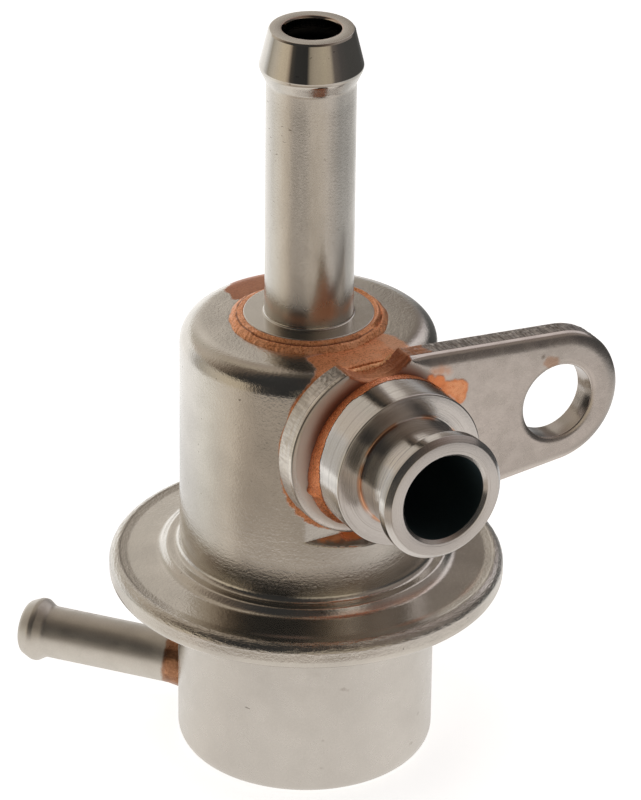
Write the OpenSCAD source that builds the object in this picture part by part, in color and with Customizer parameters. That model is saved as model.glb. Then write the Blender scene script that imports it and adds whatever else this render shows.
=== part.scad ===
// Fuel pressure regulator: drawn steel housing with a rolled rim, return pipe on
// top, side inlet port on a stamped bracket, spring cover with a vacuum nipple,
// and the diaphragm valve inside. +Z is up along the body axis, the origin is the
// centre of the flat base, and the inlet port points to -Y. Millimetres.

/* [Upper housing] */
// Outside radius of the drawn body
body_r = 11.6; // [11.4:0.1:11.8]
// Height of the body's flat top above the base
body_top = 43; // [42.5:0.1:43.5]
// Shoulder radius between the top and the wall
shoulder_r = 2.2; // [1.5:0.1:2.6]
// Sheet thickness of the drawn body
sheet_t = 0.7; // [0.6:0.05:0.8]
// Distance of the pressed flat from the body axis
flat_d = 9.95; // [9.8:0.05:10.2]
// Height of the ledge under the pressed flat
ledge_z = 26.5; // [25.5:0.1:27]

/* [Rolled rim] */
// Outside radius of the rolled rim
rim_r = 18.05; // [17.9:0.05:18.5]
// Height of the rim's top face
rim_top = 19.6; // [19.5:0.05:19.7]
// Height of the raised ring at the foot of the wall
ring_z = 20.4; // [20.2:0.05:20.6]
// Outside radius of the raised ring
ring_r = 13; // [12.8:0.1:13.3]

/* [Spring cover] */
// Outside radius of the cup
cup_r = 11.75; // [11.6:0.05:11.9]
// Wall thickness of the cup
cup_t = 0.8; // [0.7:0.05:0.9]
// Bottom corner radius of the cup
cup_corner = 1.8; // [1.4:0.1:2.4]

/* [Return pipe] */
// Outside radius of the pipe
pipe_r = 4; // [3.9:0.05:4.1]
// Bore radius of the pipe
pipe_bore = 2.6; // [2.2:0.1:2.7]
// Height of the pipe's end
pipe_top = 71.3; // [66:0.1:80]
// Crest radius of the hose barb
barb_r = 4.62; // [4.4:0.02:4.7]
// Radius of the collar at the pipe's foot
collar_r = 5.9; // [5.5:0.1:6.2]
// Height of the collar
collar_h = 0.8; // [0.6:0.1:1.2]

/* [Inlet port] */
// Height of the port axis
port_z = 36; // [35.5:0.1:36.3]
// Radius of the locating shoulder
port_shoulder_r = 7.27; // [7:0.01:7.5]
// Radius of the shoulder's cone where it meets the plate
port_root_r = 6.15; // [6:0.05:6.6]
// Length of the shoulder's cone
port_root_h = 1.95; // [1.5:0.05:2.2]
// Radius of the neck, the seal groove's floor
port_neck_r = 5.05; // [4.9:0.05:5.2]
// Radius of the end collar
port_collar_r = 5.87; // [5.7:0.01:6]
// Bore radius of the port
port_bore = 4; // [3.5:0.1:4.1]
// Distance of the shoulder's front face from the body axis
port_shoulder_y = 17.9; // [16.5:0.1:19]
// Distance of the port's end from the body axis
port_end_y = 24; // [23.5:0.1:26]

/* [Bracket] */
// Plate thickness
plate_t = 2.4; // [2:0.1:3]
// Distance from the port axis to the bolt hole
bolt_x = 18.85; // [17:0.05:22]
// Radius of the bolt hole
bolt_r = 3.6; // [3:0.1:3.8]
// Radius of the plate's end round the bolt hole
plate_end_r = 6.5; // [6.3:0.1:6.9]
// Radius of the plate's end round the port
plate_port_r = 8.3; // [8.2:0.05:8.8]

/* [Vacuum nipple] */
// Outside radius of the nipple
nipple_r = 2.45; // [2.2:0.05:2.6]
// Bore radius of the nipple
nipple_bore = 1.5; // [1.2:0.1:1.7]
// Crest radius of the nipple's bead
bead_r = 2.98; // [2.8:0.02:3.2]
// Height of the nipple axis
nipple_z = 5.1; // [5:0.1:8]
// Direction of the nipple round the body axis, from +X
nipple_az = 128.7; // [100:0.1:160]
// Distance of the nipple's end from the body axis
nipple_end = 28.3; // [25:0.1:32]

/* [Valve] */
// Radius of the valve ball
ball_r = 3; // [2.9:0.02:3.04]
// Gap between the ball's flat and the seat at rest
seat_gap = 0.12; // [0.1:0.01:0.2]
// Wire radius of the main spring
wire_r = 0.85; // [0.7:0.05:0.9]
// Mean coil radius of the main spring
coil_r = 6.7; // [6.6:0.05:6.8]

/* [Hidden] */
$fn = 96;

steel = [0.70, 0.67, 0.63];
bright = [0.78, 0.76, 0.73];
copper = [0.76, 0.42, 0.25];
brass = [0.74, 0.60, 0.30];

// rim stack from the top: housing sheet, diaphragm, cover flange, rolled lip
dia_t = 0.55;
flange_t = 0.7;
clamp_top = rim_top - sheet_t;
clamp_mid = clamp_top - dia_t;
clamp_bot = clamp_mid - flange_t;
rim_bot = clamp_bot - sheet_t;
clamp_r = rim_r - sheet_t;
flange_r = clamp_r - 0.05;
lip_r = 14.4;
cup_in = cup_r - cup_t;

plate_y = flat_d + plate_t;

// moving group levels
roll_z = clamp_bot - 0.6;
disc_bot = roll_z + 0.4;
disc_top = disc_bot + dia_t;
plate_bot = disc_bot - 0.7;
ball_z = disc_top + 4;
flat_z = ball_z + 1.8;
seat_z = flat_z + seat_gap;
stem_end = seat_z + 2.6;

// ---- profiles -------------------------------------------------------------

// rectangle between two corners
module rect(r0, z0, r1, z1) { translate([r0, z0]) square([r1 - r0, z1 - z0]); }

// outside of the drawn body and its rolled rim, as a half section
module housing_outside() {
    foot = 0.5;
    edge = 0.35;
    top_e = 1.1;
    bot_e = 0.9;
    // body and shoulder
    rect(0, rim_bot, body_r, body_top - shoulder_r);
    rect(0, rim_bot, body_r - shoulder_r, body_top);
    translate([body_r - shoulder_r, body_top - shoulder_r]) circle(shoulder_r);
    // fillet at the foot of the wall
    difference() {
        rect(body_r - 0.2, ring_z - 0.2, body_r + foot, ring_z + foot);
        translate([body_r + foot, ring_z + foot]) circle(foot);
    }
    // raised ring
    rect(0, rim_bot, ring_r - edge, ring_z);
    rect(0, rim_bot, ring_r, ring_z - edge);
    translate([ring_r - edge, ring_z - edge]) circle(edge);
    // rim, rolled over the top and underneath
    rect(0, rim_bot, rim_r - top_e, rim_top);
    rect(0, rim_bot + bot_e, rim_r, rim_top - top_e);
    rect(0, rim_bot, rim_r - bot_e, rim_top - top_e);
    translate([rim_r - top_e, rim_top - top_e]) circle(top_e);
    translate([rim_r - bot_e, rim_bot + bot_e]) circle(bot_e);
}

// inside of the drawn body with the clamping groove of the rim
module housing_inside() {
    in_r = body_r - sheet_t;
    in_s = shoulder_r - sheet_t;
    rect(0, rim_bot - 1, in_r, body_top - shoulder_r);
    rect(0, rim_bot - 1, in_r - in_s, body_top - sheet_t);
    translate([in_r - in_s, body_top - shoulder_r]) circle(in_s);
    rect(0, rim_bot - 1, ring_r - 0.3, ring_z - sheet_t);
    rect(0, clamp_bot, clamp_r, clamp_top);
    rect(0, rim_bot - 1, lip_r, clamp_bot + 0.1);
}

// the space in front of the pressed flat with its sloping ledge, drawn back by d
module flat_cut(d) {
    foot = ledge_z - 0.6 * d;
    rotate([90, 0, 90]) linear_extrude(40, center = true)
        polygon([[d - flat_d, foot], [d - flat_d, body_top + 2], [-40, body_top + 2],
                 [-40, foot - 1.15], [-body_r - 0.4, foot - 1.15]]);
}

// places a profile turned about the port axis, heights measured from the body axis
module on_port() { translate([0, 0, port_z]) rotate([90, 0, 0]) children(); }

// places a profile turned about the nipple axis, heights measured from the body axis
module on_nipple() { translate([0, 0, nipple_z]) rotate([0, 90, nipple_az]) children(); }

// plate outline: two round ends with their common tangents
plate_c1 = [-0.4, -0.35];
plate_c2 = [bolt_x, -0.2];
plate_len = norm(plate_c2 - plate_c1);
plate_dir = (plate_c2 - plate_c1) / plate_len;
plate_nrm = [-plate_dir[1], plate_dir[0]];
plate_sin = (plate_port_r - plate_end_r) / plate_len;
plate_cos = sqrt(1 - plate_sin * plate_sin);
function tangent_dir(s) = plate_dir * plate_sin + plate_nrm * plate_cos * s;

module plate_outline() {
    up = tangent_dir(1);
    down = tangent_dir(-1);
    web1 = plate_port_r - 0.02;
    web2 = plate_end_r - 0.02;
    translate(plate_c1) circle(plate_port_r);
    translate(plate_c2) circle(plate_end_r);
    polygon([plate_c1 + web1 * up, plate_c1 + web1 * down,
             plate_c2 + web2 * down, plate_c2 + web2 * up]);
}

// ---- coil springs ---------------------------------------------------------

// height of a coil's centre line after t turns: closed end turns, open middle
function coil_rise(t, n, w, h) =
    let(p = (h - 2 * w) / (n - 2))
    t < 1 ? t * w : t < n - 1 ? w + (t - 1) * p : h - (n - t) * w;

// one ring of points round the wire
function wire_ring(a, r, z, w, k) =
    [for (j = [0 : k - 1]) let(b = 360 * (j + 0.5) / k)
        [(r + w * cos(b)) * cos(a), (r + w * cos(b)) * sin(a), z + w * sin(b)]];

// closed-end coil spring standing on z0, n turns of wire radius w, height h
module coil(r, w, z0, h, n, steps, k) {
    total = n * steps;
    rise = h - 2 * w;
    pts = [for (i = [0 : total]) each wire_ring(360 * i / steps, r,
            z0 + w + coil_rise(i / steps, n, 2 * w + 0.04 * w, rise), w, k)];
    sides = [for (i = [0 : total - 1], j = [0 : k - 1])
        let(a = i * k + j, b = i * k + (j + 1) % k)
        each [[a, b, b + k], [a, b + k, a + k]]];
    caps = [[for (j = [k - 1 : -1 : 0]) j], [for (j = [0 : k - 1]) total * k + j]];
    polyhedron(points = pts, faces = concat(sides, caps), convexity = 8);
}

// ---- pieces ---------------------------------------------------------------

// drawn body with pressed flat and rolled rim
module upper_housing() {
    color(steel) difference() {
        rotate_extrude() housing_outside();
        flat_cut(0);
        difference() {
            rotate_extrude() housing_inside();
            flat_cut(sheet_t);
        }
        translate([0, 0, body_top - 4]) cylinder(r = pipe_r + 0.05, h = 8);
        on_port() translate([0, 0, 4]) cylinder(r = 5.55, h = 10);
    }
}

// spring cover, clamped by its flange in the rolled rim
module lower_housing() {
    in_c = cup_corner - cup_t;
    lead = 1.3;
    color(steel) difference() {
        rotate_extrude() difference() {
            union() {
                rect(0, cup_corner, cup_r, clamp_mid);
                rect(0, 0, cup_r - cup_corner, clamp_mid);
                translate([cup_r - cup_corner, cup_corner]) circle(cup_corner);
                rect(0, clamp_bot, flange_r, clamp_mid);
                difference() {
                    rect(cup_r - 0.2, clamp_bot - 0.6, cup_r + 0.6, clamp_bot + 0.1);
                    translate([cup_r + 0.6, clamp_bot - 0.6]) circle(0.6);
                }
            }
            rect(-1, cup_corner, cup_in, clamp_mid + 1);
            rect(-1, cup_t, cup_in - in_c, clamp_mid);
            translate([cup_in - in_c, cup_corner]) circle(in_c);
            difference() {
                rect(-1, clamp_mid - lead, cup_in + lead, clamp_mid + 1);
                translate([cup_in + lead, clamp_mid - lead]) circle(lead);
            }
        }
        on_nipple() translate([0, 0, 6]) cylinder(r = nipple_r + 0.03, h = 10);
    }
}

// turned pipe with barb, foot collar and the stem that carries the seat
module return_pipe() {
    color(bright) rotate_extrude() polygon([
        [3, stem_end], [pipe_r, stem_end], [pipe_r, body_top],
        [collar_r, body_top], [collar_r, body_top + collar_h - 0.2],
        [collar_r - 0.2, body_top + collar_h], [pipe_r, body_top + collar_h],
        [pipe_r, pipe_top - 4.9], [barb_r, pipe_top - 3.75], [barb_r, pipe_top - 3.25],
        [3.84, pipe_top - 0.15], [3.7, pipe_top], [pipe_bore + 0.15, pipe_top],
        [pipe_bore, pipe_top - 0.15], [pipe_bore, stem_end + 4], [3, stem_end + 4]]);
}

// turned seat pressed into the stem
module valve_seat() {
    color(bright) rotate_extrude() polygon([
        [1.6, seat_z], [2.1, seat_z], [3.4, seat_z + 1.6], [pipe_r, seat_z + 1.6],
        [pipe_r, stem_end], [2.98, stem_end], [2.98, stem_end + 3.8],
        [1.6, stem_end + 3.8]]);
}

// turned inlet: spigot, shoulder, seal groove, end collar
module inlet_port() {
    color(bright) on_port() rotate_extrude() polygon([
        [port_bore, flat_d - 1.05], [5.5, flat_d - 1.05], [5.5, plate_y],
        [port_root_r, plate_y], [port_shoulder_r, plate_y + port_root_h],
        [port_shoulder_r, port_shoulder_y - 0.08],
        [port_shoulder_r - 0.08, port_shoulder_y], [port_neck_r, port_shoulder_y],
        [port_neck_r, port_end_y - 1.7], [port_collar_r - 0.27, port_end_y - 1.7],
        [port_collar_r, port_end_y - 1.45], [port_collar_r, port_end_y - 0.45],
        [port_collar_r - 0.42, port_end_y], [port_bore + 0.25, port_end_y],
        [port_bore, port_end_y - 0.25]]);
}

// stamped plate with bolt hole, port hole and top notch
module mounting_bracket() {
    color(steel) translate([0, -flat_d, port_z]) rotate([90, 0, 0])
        linear_extrude(plate_t) difference() {
            plate_outline();
            circle(5.55);
            translate([bolt_x, -0.45]) circle(bolt_r);
            translate([0.15, 10.65]) circle(4.3);
        }
}

// nipple with a rolled bead near its end
module vacuum_nipple() {
    color(steel) on_nipple() rotate_extrude() polygon([
        [nipple_bore, cup_in - 0.35], [nipple_r, cup_in - 0.35],
        [nipple_r, nipple_end - 2.6], [nipple_r + 0.12, nipple_end - 2.3],
        [bead_r - 0.1, nipple_end - 1.85], [bead_r, nipple_end - 1.65],
        [bead_r, nipple_end - 1.3], [bead_r - 0.14, nipple_end - 0.9],
        [nipple_r - 0.05, nipple_end - 0.2], [nipple_r - 0.35, nipple_end],
        [nipple_bore + 0.1, nipple_end], [nipple_bore, nipple_end - 0.1]]);
}

// two beads of filler round the foot collar
module outlet_braze() {
    color(copper) rotate_extrude() intersection() {
        union() {
            translate([collar_r + 0.4, body_top + 0.05]) circle(0.5);
            translate([collar_r + 1, body_top]) circle(0.42);
        }
        rect(collar_r + 0.02, body_top, collar_r + 2, body_top + 2);
    }
}

// fillet of filler between the plate and the shoulder's cone
module port_braze() {
    s = port_shoulder_r + 0.02;
    root = port_root_r + 0.02;
    slope = (s - root) / port_root_h;
    color(copper) on_port() rotate_extrude() polygon([
        [root, plate_y], [root + 0.5, plate_y],
        [root + 0.9 * slope + 0.3, plate_y + 0.9],
        [s + 0.06, plate_y + port_root_h], [s, plate_y + port_root_h + 0.4],
        [s, plate_y + port_root_h]]);
}

// wedges of filler between the plate's back and the round body
module bracket_braze() {
    edge = sqrt(body_r * body_r - flat_d * flat_d);
    color(copper) difference() {
        intersection() {
            translate([0, -flat_d + 1.6, port_z]) rotate([90, 0, 0])
                cylinder(r = plate_port_r - 0.4, h = 1.6, $fn = 360);
            union() for (s = [-1, 1])
                translate([s * (edge + 0.65), -flat_d + 1, port_z])
                    cube([1, 3, 30], center = true);
        }
        translate([0, 0, ledge_z - 2]) cylinder(r = body_r + 0.02, h = 30, $fn = 720);
    }
}

// fillet of filler round the nipple's foot
module nipple_braze() {
    s = nipple_r + 0.02;
    color(copper) difference() {
        on_nipple() rotate_extrude() polygon([
            [s, 10.8], [s + 0.5, 10.8], [s + 0.42, 11.8], [s + 0.16, 12.5], [s, 13.2]]);
        translate([0, 0, nipple_z - 4]) cylinder(r = cup_r + 0.02, h = 8);
    }
}

// rubberised disc with one convolution that hangs down
module diaphragm() {
    bend1 = 8.1;
    roll = 9.55;
    bend2 = 11.9;
    color([0.13, 0.12, 0.11]) rotate_extrude() {
        rect(2.05, disc_bot, bend1, disc_top);
        intersection() {
            translate([bend1, roll_z]) difference() { circle(0.4 + dia_t); circle(0.4); }
            rect(bend1, roll_z, bend1 + 2, roll_z + 2);
        }
        intersection() {
            translate([roll, roll_z]) difference() { circle(0.5 + dia_t); circle(0.5); }
            rect(roll - 2, roll_z - 2, roll + 2, roll_z);
        }
        intersection() {
            translate([bend2, roll_z]) difference() { circle(1.3 + dia_t); circle(1.3); }
            rect(bend2 - 3, roll_z, bend2, roll_z + 3);
        }
        rect(bend2, clamp_mid, flange_r, clamp_top);
    }
}

// turned holder: plate, ball socket and riveted stem
module valve_holder() {
    color(brass) rotate_extrude() polygon([
        [0, plate_bot - 0.7], [2.5, plate_bot - 0.7], [2.7, plate_bot - 0.5],
        [2.7, plate_bot], [2, plate_bot], [2, disc_top], [8, disc_top],
        [8, disc_top + 0.7], [7.8, disc_top + 0.9], [4.6, disc_top + 0.9],
        [4.6, ball_z + 0.75], [3.1, ball_z + 0.75], [3.1, disc_top + 0.6],
        [1.25, disc_top + 0.6], [1.25, disc_bot - 0.55], [0, disc_bot - 0.55]]);
}

// pressed plate under the diaphragm with a collar that centres the spring
module spring_plate() {
    color(steel) rotate_extrude() polygon([
        [2.05, plate_bot], [4.9, plate_bot], [4.9, plate_bot - 1.5],
        [5.6, plate_bot - 1.5], [5.6, plate_bot], [7.6, plate_bot],
        [7.6, disc_bot - 0.25], [7.35, disc_bot], [2.05, disc_bot]]);
}

// ball with a ground flat that closes the seat
module valve_ball() {
    color(bright) difference() {
        translate([0, 0, ball_z]) sphere(ball_r);
        translate([-5, -5, flat_z]) cube(10);
    }
}

// pressed ring over the socket that keeps the ball in
module ball_retainer() {
    color(steel) rotate_extrude() polygon([
        [4.64, ball_z - 1.8], [5.2, ball_z - 1.8], [5.2, ball_z + 1.15],
        [4.95, ball_z + 1.4], [2.78, ball_z + 1.4], [3, ball_z + 0.8],
        [4.64, ball_z + 0.8]]);
}

// small spring under the ball
module ball_spring() {
    color(bright) coil(0.95, 0.16, disc_bot - 0.52, ball_z - ball_r - disc_bot + 0.62, 5, 18, 8);
}

// main spring between the cup's floor and the spring plate
module main_spring() {
    color(bright) coil(coil_r, wire_r, cup_t + 0.03, plate_bot - cup_t - 0.06, 5.5, 36, 10);
}

upper_housing();
lower_housing();
return_pipe();
inlet_port();
mounting_bracket();
vacuum_nipple();
outlet_braze();
port_braze();
bracket_braze();
nipple_braze();
valve_seat();
diaphragm();
valve_holder();
spring_plate();
valve_ball();
ball_retainer();
ball_spring();
main_spring();
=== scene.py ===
import math

import bmesh
import bpy
import numpy as np
from mathutils import Matrix, Vector
from mathutils.geometry import tessellate_polygon


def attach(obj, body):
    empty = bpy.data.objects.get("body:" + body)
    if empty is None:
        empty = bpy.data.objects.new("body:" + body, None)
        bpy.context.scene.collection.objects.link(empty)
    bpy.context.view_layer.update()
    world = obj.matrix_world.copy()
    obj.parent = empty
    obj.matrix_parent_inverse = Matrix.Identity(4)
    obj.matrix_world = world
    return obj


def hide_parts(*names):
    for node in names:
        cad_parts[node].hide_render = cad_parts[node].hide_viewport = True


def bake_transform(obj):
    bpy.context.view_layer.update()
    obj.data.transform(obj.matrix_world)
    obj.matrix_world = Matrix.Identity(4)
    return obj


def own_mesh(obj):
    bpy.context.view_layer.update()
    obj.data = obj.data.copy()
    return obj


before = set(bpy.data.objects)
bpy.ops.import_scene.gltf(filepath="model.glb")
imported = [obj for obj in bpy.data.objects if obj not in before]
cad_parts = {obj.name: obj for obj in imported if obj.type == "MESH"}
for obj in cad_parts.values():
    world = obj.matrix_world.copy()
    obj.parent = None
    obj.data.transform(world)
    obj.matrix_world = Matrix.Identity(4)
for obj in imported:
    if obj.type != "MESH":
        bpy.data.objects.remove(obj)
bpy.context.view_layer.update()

MM = 0.001

# ---------------------------------------------------------------- camera
# Fixed view of the object, in millimetres of the part's own frame.
TARGET = Vector((0.980, -0.5705, 34.807))
BACK = Vector((-0.44678, -0.76749, 0.45975)).normalized()
REACH = 474.95
ROLL = math.radians(0.6906)
side = (-BACK).cross(Vector((0, 0, 1))).normalized()
rise = side.cross(-BACK)
cam_x = side * math.cos(ROLL) + rise * math.sin(ROLL)
cam_y = -side * math.sin(ROLL) + rise * math.cos(ROLL)
cam_data = bpy.data.cameras.new("view_camera")
cam_data.sensor_width = 36.0
cam_data.lens = 236.86
cam_data.clip_start = 0.01
cam_data.clip_end = 20.0
cam = bpy.data.objects.new("view_camera", cam_data)
bpy.context.scene.collection.objects.link(cam)
spot = (TARGET + BACK * REACH) * MM
cam.matrix_world = Matrix((
    (cam_x.x, cam_y.x, BACK.x, spot.x),
    (cam_x.y, cam_y.y, BACK.y, spot.y),
    (cam_x.z, cam_y.z, BACK.z, spot.z),
    (0, 0, 0, 1),
))
bpy.context.scene.camera = cam
bpy.context.scene.view_settings.view_transform = "Standard"
bpy.context.scene.view_settings.look = "None"

# Horizontal directions of the studio: towards the front of the set, and to its right.
FRONT = Vector((BACK.x, BACK.y, 0)).normalized()
RIGHT = side


# ---------------------------------------------------------------- node helpers
class Graph:
    """Small builder for a node tree; every method returns an output socket."""

    def __init__(self, tree):
        self.tree = tree

    def node(self, kind, **settings):
        n = self.tree.nodes.new(kind)
        for k, v in settings.items():
            setattr(n, k, v)
        return n

    def put(self, socket, value):
        if isinstance(value, bpy.types.NodeSocket):
            self.tree.links.new(value, socket)
        elif isinstance(value, (tuple, list, Vector)) and len(value) == 3 and socket.type == "RGBA":
            socket.default_value = (*value, 1.0)
        else:
            socket.default_value = value

    def f(self, op, *values, clamp=False):
        n = self.node("ShaderNodeMath", operation=op, use_clamp=clamp)
        for s, v in zip(n.inputs, values):
            self.put(s, v)
        return n.outputs[0]

    def v(self, op, *values):
        n = self.node("ShaderNodeVectorMath", operation=op)
        for s, v in zip(n.inputs, values):
            self.put(s, v)
        return n.outputs["Value"] if op in ("LENGTH", "DISTANCE", "DOT_PRODUCT") else n.outputs["Vector"]

    def xyz(self, x, y, z):
        n = self.node("ShaderNodeCombineXYZ")
        for s, v in zip(n.inputs, (x, y, z)):
            self.put(s, v)
        return n.outputs[0]

    def noise(self, vec, scale, detail=2.0, rough=0.5, distortion=0.0):
        n = self.node("ShaderNodeTexNoise")
        self.put(n.inputs["Vector"], vec)
        n.inputs["Scale"].default_value = scale
        n.inputs["Detail"].default_value = detail
        n.inputs["Roughness"].default_value = rough
        n.inputs["Distortion"].default_value = distortion
        return n.outputs[0]

    def step(self, value, lo, hi, out_lo=0.0, out_hi=1.0):
        n = self.node("ShaderNodeMapRange", interpolation_type="SMOOTHSTEP")
        for s, v in zip(n.inputs, (value, lo, hi, out_lo, out_hi)):
            self.put(s, v)
        return n.outputs[0]

    def mix(self, fac, a, b):
        n = self.node("ShaderNodeMix", data_type="RGBA")
        self.put(n.inputs[0], fac)
        self.put(n.inputs[6], a)
        self.put(n.inputs[7], b)
        return n.outputs[2]

    def blend(self, fac, a, b):
        n = self.node("ShaderNodeMix", data_type="FLOAT")
        self.put(n.inputs[0], fac)
        self.put(n.inputs[2], a)
        self.put(n.inputs[3], b)
        return n.outputs[0]

    def tint(self, colour, value):
        n = self.node("ShaderNodeVectorMath", operation="SCALE")
        self.put(n.inputs[0], colour)
        self.put(n.inputs[3], value)
        return n.outputs[0]

    def ramp(self, value, stops):
        n = self.node("ShaderNodeValToRGB")
        n.color_ramp.interpolation = "LINEAR"
        while len(n.color_ramp.elements) < len(stops):
            n.color_ramp.elements.new(0.5)
        for e, (pos, c) in zip(n.color_ramp.elements, stops):
            e.position = pos
            c = (c, c, c) if isinstance(c, (int, float)) else c
            e.color = (*c, 1.0)
        self.put(n.inputs[0], value)
        return n.outputs[0]


class Finish(Graph):
    """A principled material with millimetre object coordinates."""

    def __init__(self, name, metallic=1.0, **fixed):
        self.mat = bpy.data.materials.new(name)
        self.mat.use_nodes = True
        super().__init__(self.mat.node_tree)
        self.tree.nodes.clear()
        out = self.node("ShaderNodeOutputMaterial")
        self.bsdf = self.node("ShaderNodeBsdfPrincipled")
        self.tree.links.new(self.bsdf.outputs[0], out.inputs[0])
        self.bsdf.inputs["Metallic"].default_value = metallic
        for k, v in fixed.items():
            self.bsdf.inputs[k.replace("_", " ")].default_value = v
        tc = self.node("ShaderNodeTexCoord")
        self.p = self.v("MULTIPLY", tc.outputs["Object"], (1000.0, 1000.0, 1000.0))
        sep = self.node("ShaderNodeSeparateXYZ")
        self.put(sep.inputs[0], self.p)
        self.x, self.y, self.z = sep.outputs
        self.normal = None

    def bump(self, height, depth_mm, strength=1.0):
        n = self.node("ShaderNodeBump")
        n.inputs["Strength"].default_value = strength
        n.inputs["Distance"].default_value = depth_mm * MM
        self.put(n.inputs["Height"], height)
        if self.normal is not None:
            self.put(n.inputs["Normal"], self.normal)
        self.normal = n.outputs[0]

    def done(self, colour, roughness):
        self.put(self.bsdf.inputs["Base Color"], colour)
        self.put(self.bsdf.inputs["Roughness"], roughness)
        if self.normal is not None:
            self.put(self.bsdf.inputs["Normal"], self.normal)
        return self.mat

    def radius(self, centre=(0, 0), plane="xy"):
        a, b = (self.x, self.y) if plane == "xy" else (self.x, self.z)
        a = self.f("SUBTRACT", a, float(centre[0]))
        b = self.f("SUBTRACT", b, float(centre[1]))
        return self.f("SQRT", self.f("ADD", self.f("MULTIPLY", a, a), self.f("MULTIPLY", b, b)))

    def blobs(self, spots, stretch=(1, 1, 1), ragged=0.5, scale=0.9, soft=0.12, detail=4.0):
        """Union of soft-edged spots (x, y, z, radius) with a ragged outline, as a 0..1 mask."""
        best = None
        q = self.v("MULTIPLY", self.p, stretch)
        for x, y, z, r in spots:
            c = (x * stretch[0], y * stretch[1], z * stretch[2])
            d = self.f("SUBTRACT", self.v("DISTANCE", q, c), float(r))
            best = d if best is None else self.f("SMOOTH_MIN", best, d, 0.5)
        edge = self.f("MULTIPLY", self.f("SUBTRACT", self.noise(self.p, scale, detail, 0.6), 0.5), 2.0 * ragged)
        return self.step(self.f("ADD", best, edge), soft, -soft)

    def copper_colour(self):
        n1 = self.noise(self.p, 6.5, 3.0, 0.65)
        n2 = self.noise(self.p, 0.7, 2.0, 0.5)
        c = self.mix(self.step(n1, 0.30, 0.58), (0.48, 0.145, 0.05), (0.90, 0.385, 0.18))
        return self.mix(self.step(n2, 0.45, 0.75, 0.0, 0.4), c, (0.96, 0.50, 0.29))

    def film_colour(self):
        """Thin brown film of brazing metal that spread flat over the steel."""
        n1 = self.noise(self.p, 5.0, 4.0, 0.7)
        n2 = self.noise(self.p, 0.55, 3.0, 0.6)
        c = self.mix(self.step(n1, 0.35, 0.62), (0.54, 0.245, 0.125), (0.74, 0.37, 0.205))
        return self.mix(self.step(n2, 0.42, 0.72, 0.0, 0.5), c, (0.82, 0.45, 0.27))


# ---------------------------------------------------------------- mesh helpers
def rounded(corners, closed=True, steps=8):
    """Polyline through (a, b[, radius]) corners, each corner with a radius turned into an arc."""
    pts, m = [], len(corners)
    for i, c in enumerate(corners):
        p = Vector(c[:2])
        rad = c[2] if len(c) > 2 else 0.0
        if rad <= 0 or (not closed and i in (0, m - 1)):
            pts.append((p.x, p.y))
            continue
        a = Vector(corners[i - 1][:2]) - p
        b = Vector(corners[(i + 1) % m][:2]) - p
        room = min(a.length, b.length)
        a.normalize()
        b.normalize()
        half = math.acos(max(-1.0, min(1.0, a.dot(b)))) / 2
        t = min(rad / math.tan(half), room * 0.97)
        rad = t * math.tan(half)
        mid = p + (a + b).normalized() * (rad / math.sin(half))
        v0, v1 = p + a * t - mid, p + b * t - mid
        sweep = math.pi - 2 * half
        n = max(2, math.ceil(steps * sweep / (math.pi / 2)))
        for k in range(n + 1):
            w = k / n
            v = (v0 * math.sin((1 - w) * sweep) + v1 * math.sin(w * sweep)) / math.sin(sweep)
            pts.append((mid.x + v.x, mid.y + v.y))
    return pts


def dense(pts, limit, closed=True):
    """Splits segments longer than limit (a length, or a function of the segment's middle)."""
    out, m = [], len(pts)
    for i in range(m if closed else m - 1):
        a, b = np.array(pts[i]), np.array(pts[(i + 1) % m])
        cap = limit((a + b) / 2) if callable(limit) else limit
        n = max(1, math.ceil(np.linalg.norm(b - a) / cap))
        out += [tuple(a + (b - a) * k / n) for k in range(n)]
    if not closed:
        out.append(tuple(pts[-1]))
    return out


def finish_mesh(name, bm, angle=32.0):
    bmesh.ops.recalc_face_normals(bm, faces=bm.faces)
    me = bpy.data.meshes.new(name)
    bm.to_mesh(me)
    bm.free()
    me.polygons.foreach_set("use_smooth", [True] * len(me.polygons))
    me.set_sharp_from_angle(angle=math.radians(angle))
    o = bpy.data.objects.new(name, me)
    bpy.context.scene.collection.objects.link(o)
    return o


def skin(rings, closed_v=True, closed_u=True):
    """bmesh of quads over rings[i][j] points in millimetres; a ring of one point is a pole."""
    bm = bmesh.new()
    vs = [[bm.verts.new(Vector(p) * MM) for p in ring] for ring in rings]
    m = len(vs)
    for i in range(m if closed_v else m - 1):
        a, b = vs[i], vs[(i + 1) % m]
        n = max(len(a), len(b))
        for j in range(n if closed_u else n - 1):
            k = (j + 1) % n
            if len(a) == 1 and len(b) == 1:
                continue
            if len(a) == 1:
                bm.faces.new((a[0], b[j], b[k]))
            elif len(b) == 1:
                bm.faces.new((a[j], b[0], a[k]))
            else:
                bm.faces.new((a[j], b[j], b[k], a[k]))
    return bm


def lathe(name, prof, segs=256, place=None, closed=True, warp=None, angle=32.0):
    """Turned piece from an (r, h) profile. place turns (x, y, h) into part coordinates, warp bends the rows first."""
    ang = np.linspace(0, 2 * math.pi, segs, endpoint=False)
    prof = np.array(prof, float)
    r = np.repeat(prof[:, :1], segs, 1)
    h = np.repeat(prof[:, 1:2], segs, 1)
    t = np.repeat(ang[None, :], len(prof), 0)
    if warp:
        r, h = warp(r, h, t)
    co = np.stack([r * np.cos(t), r * np.sin(t), h], -1)
    if place is not None:
        co = place(co)
    rings = []
    for i in range(len(prof)):
        rings.append([co[i, 0]] if prof[i, 0] < 1e-6 else list(co[i]))
    return finish_mesh(name, skin(rings, closed_v=closed), angle)


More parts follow.
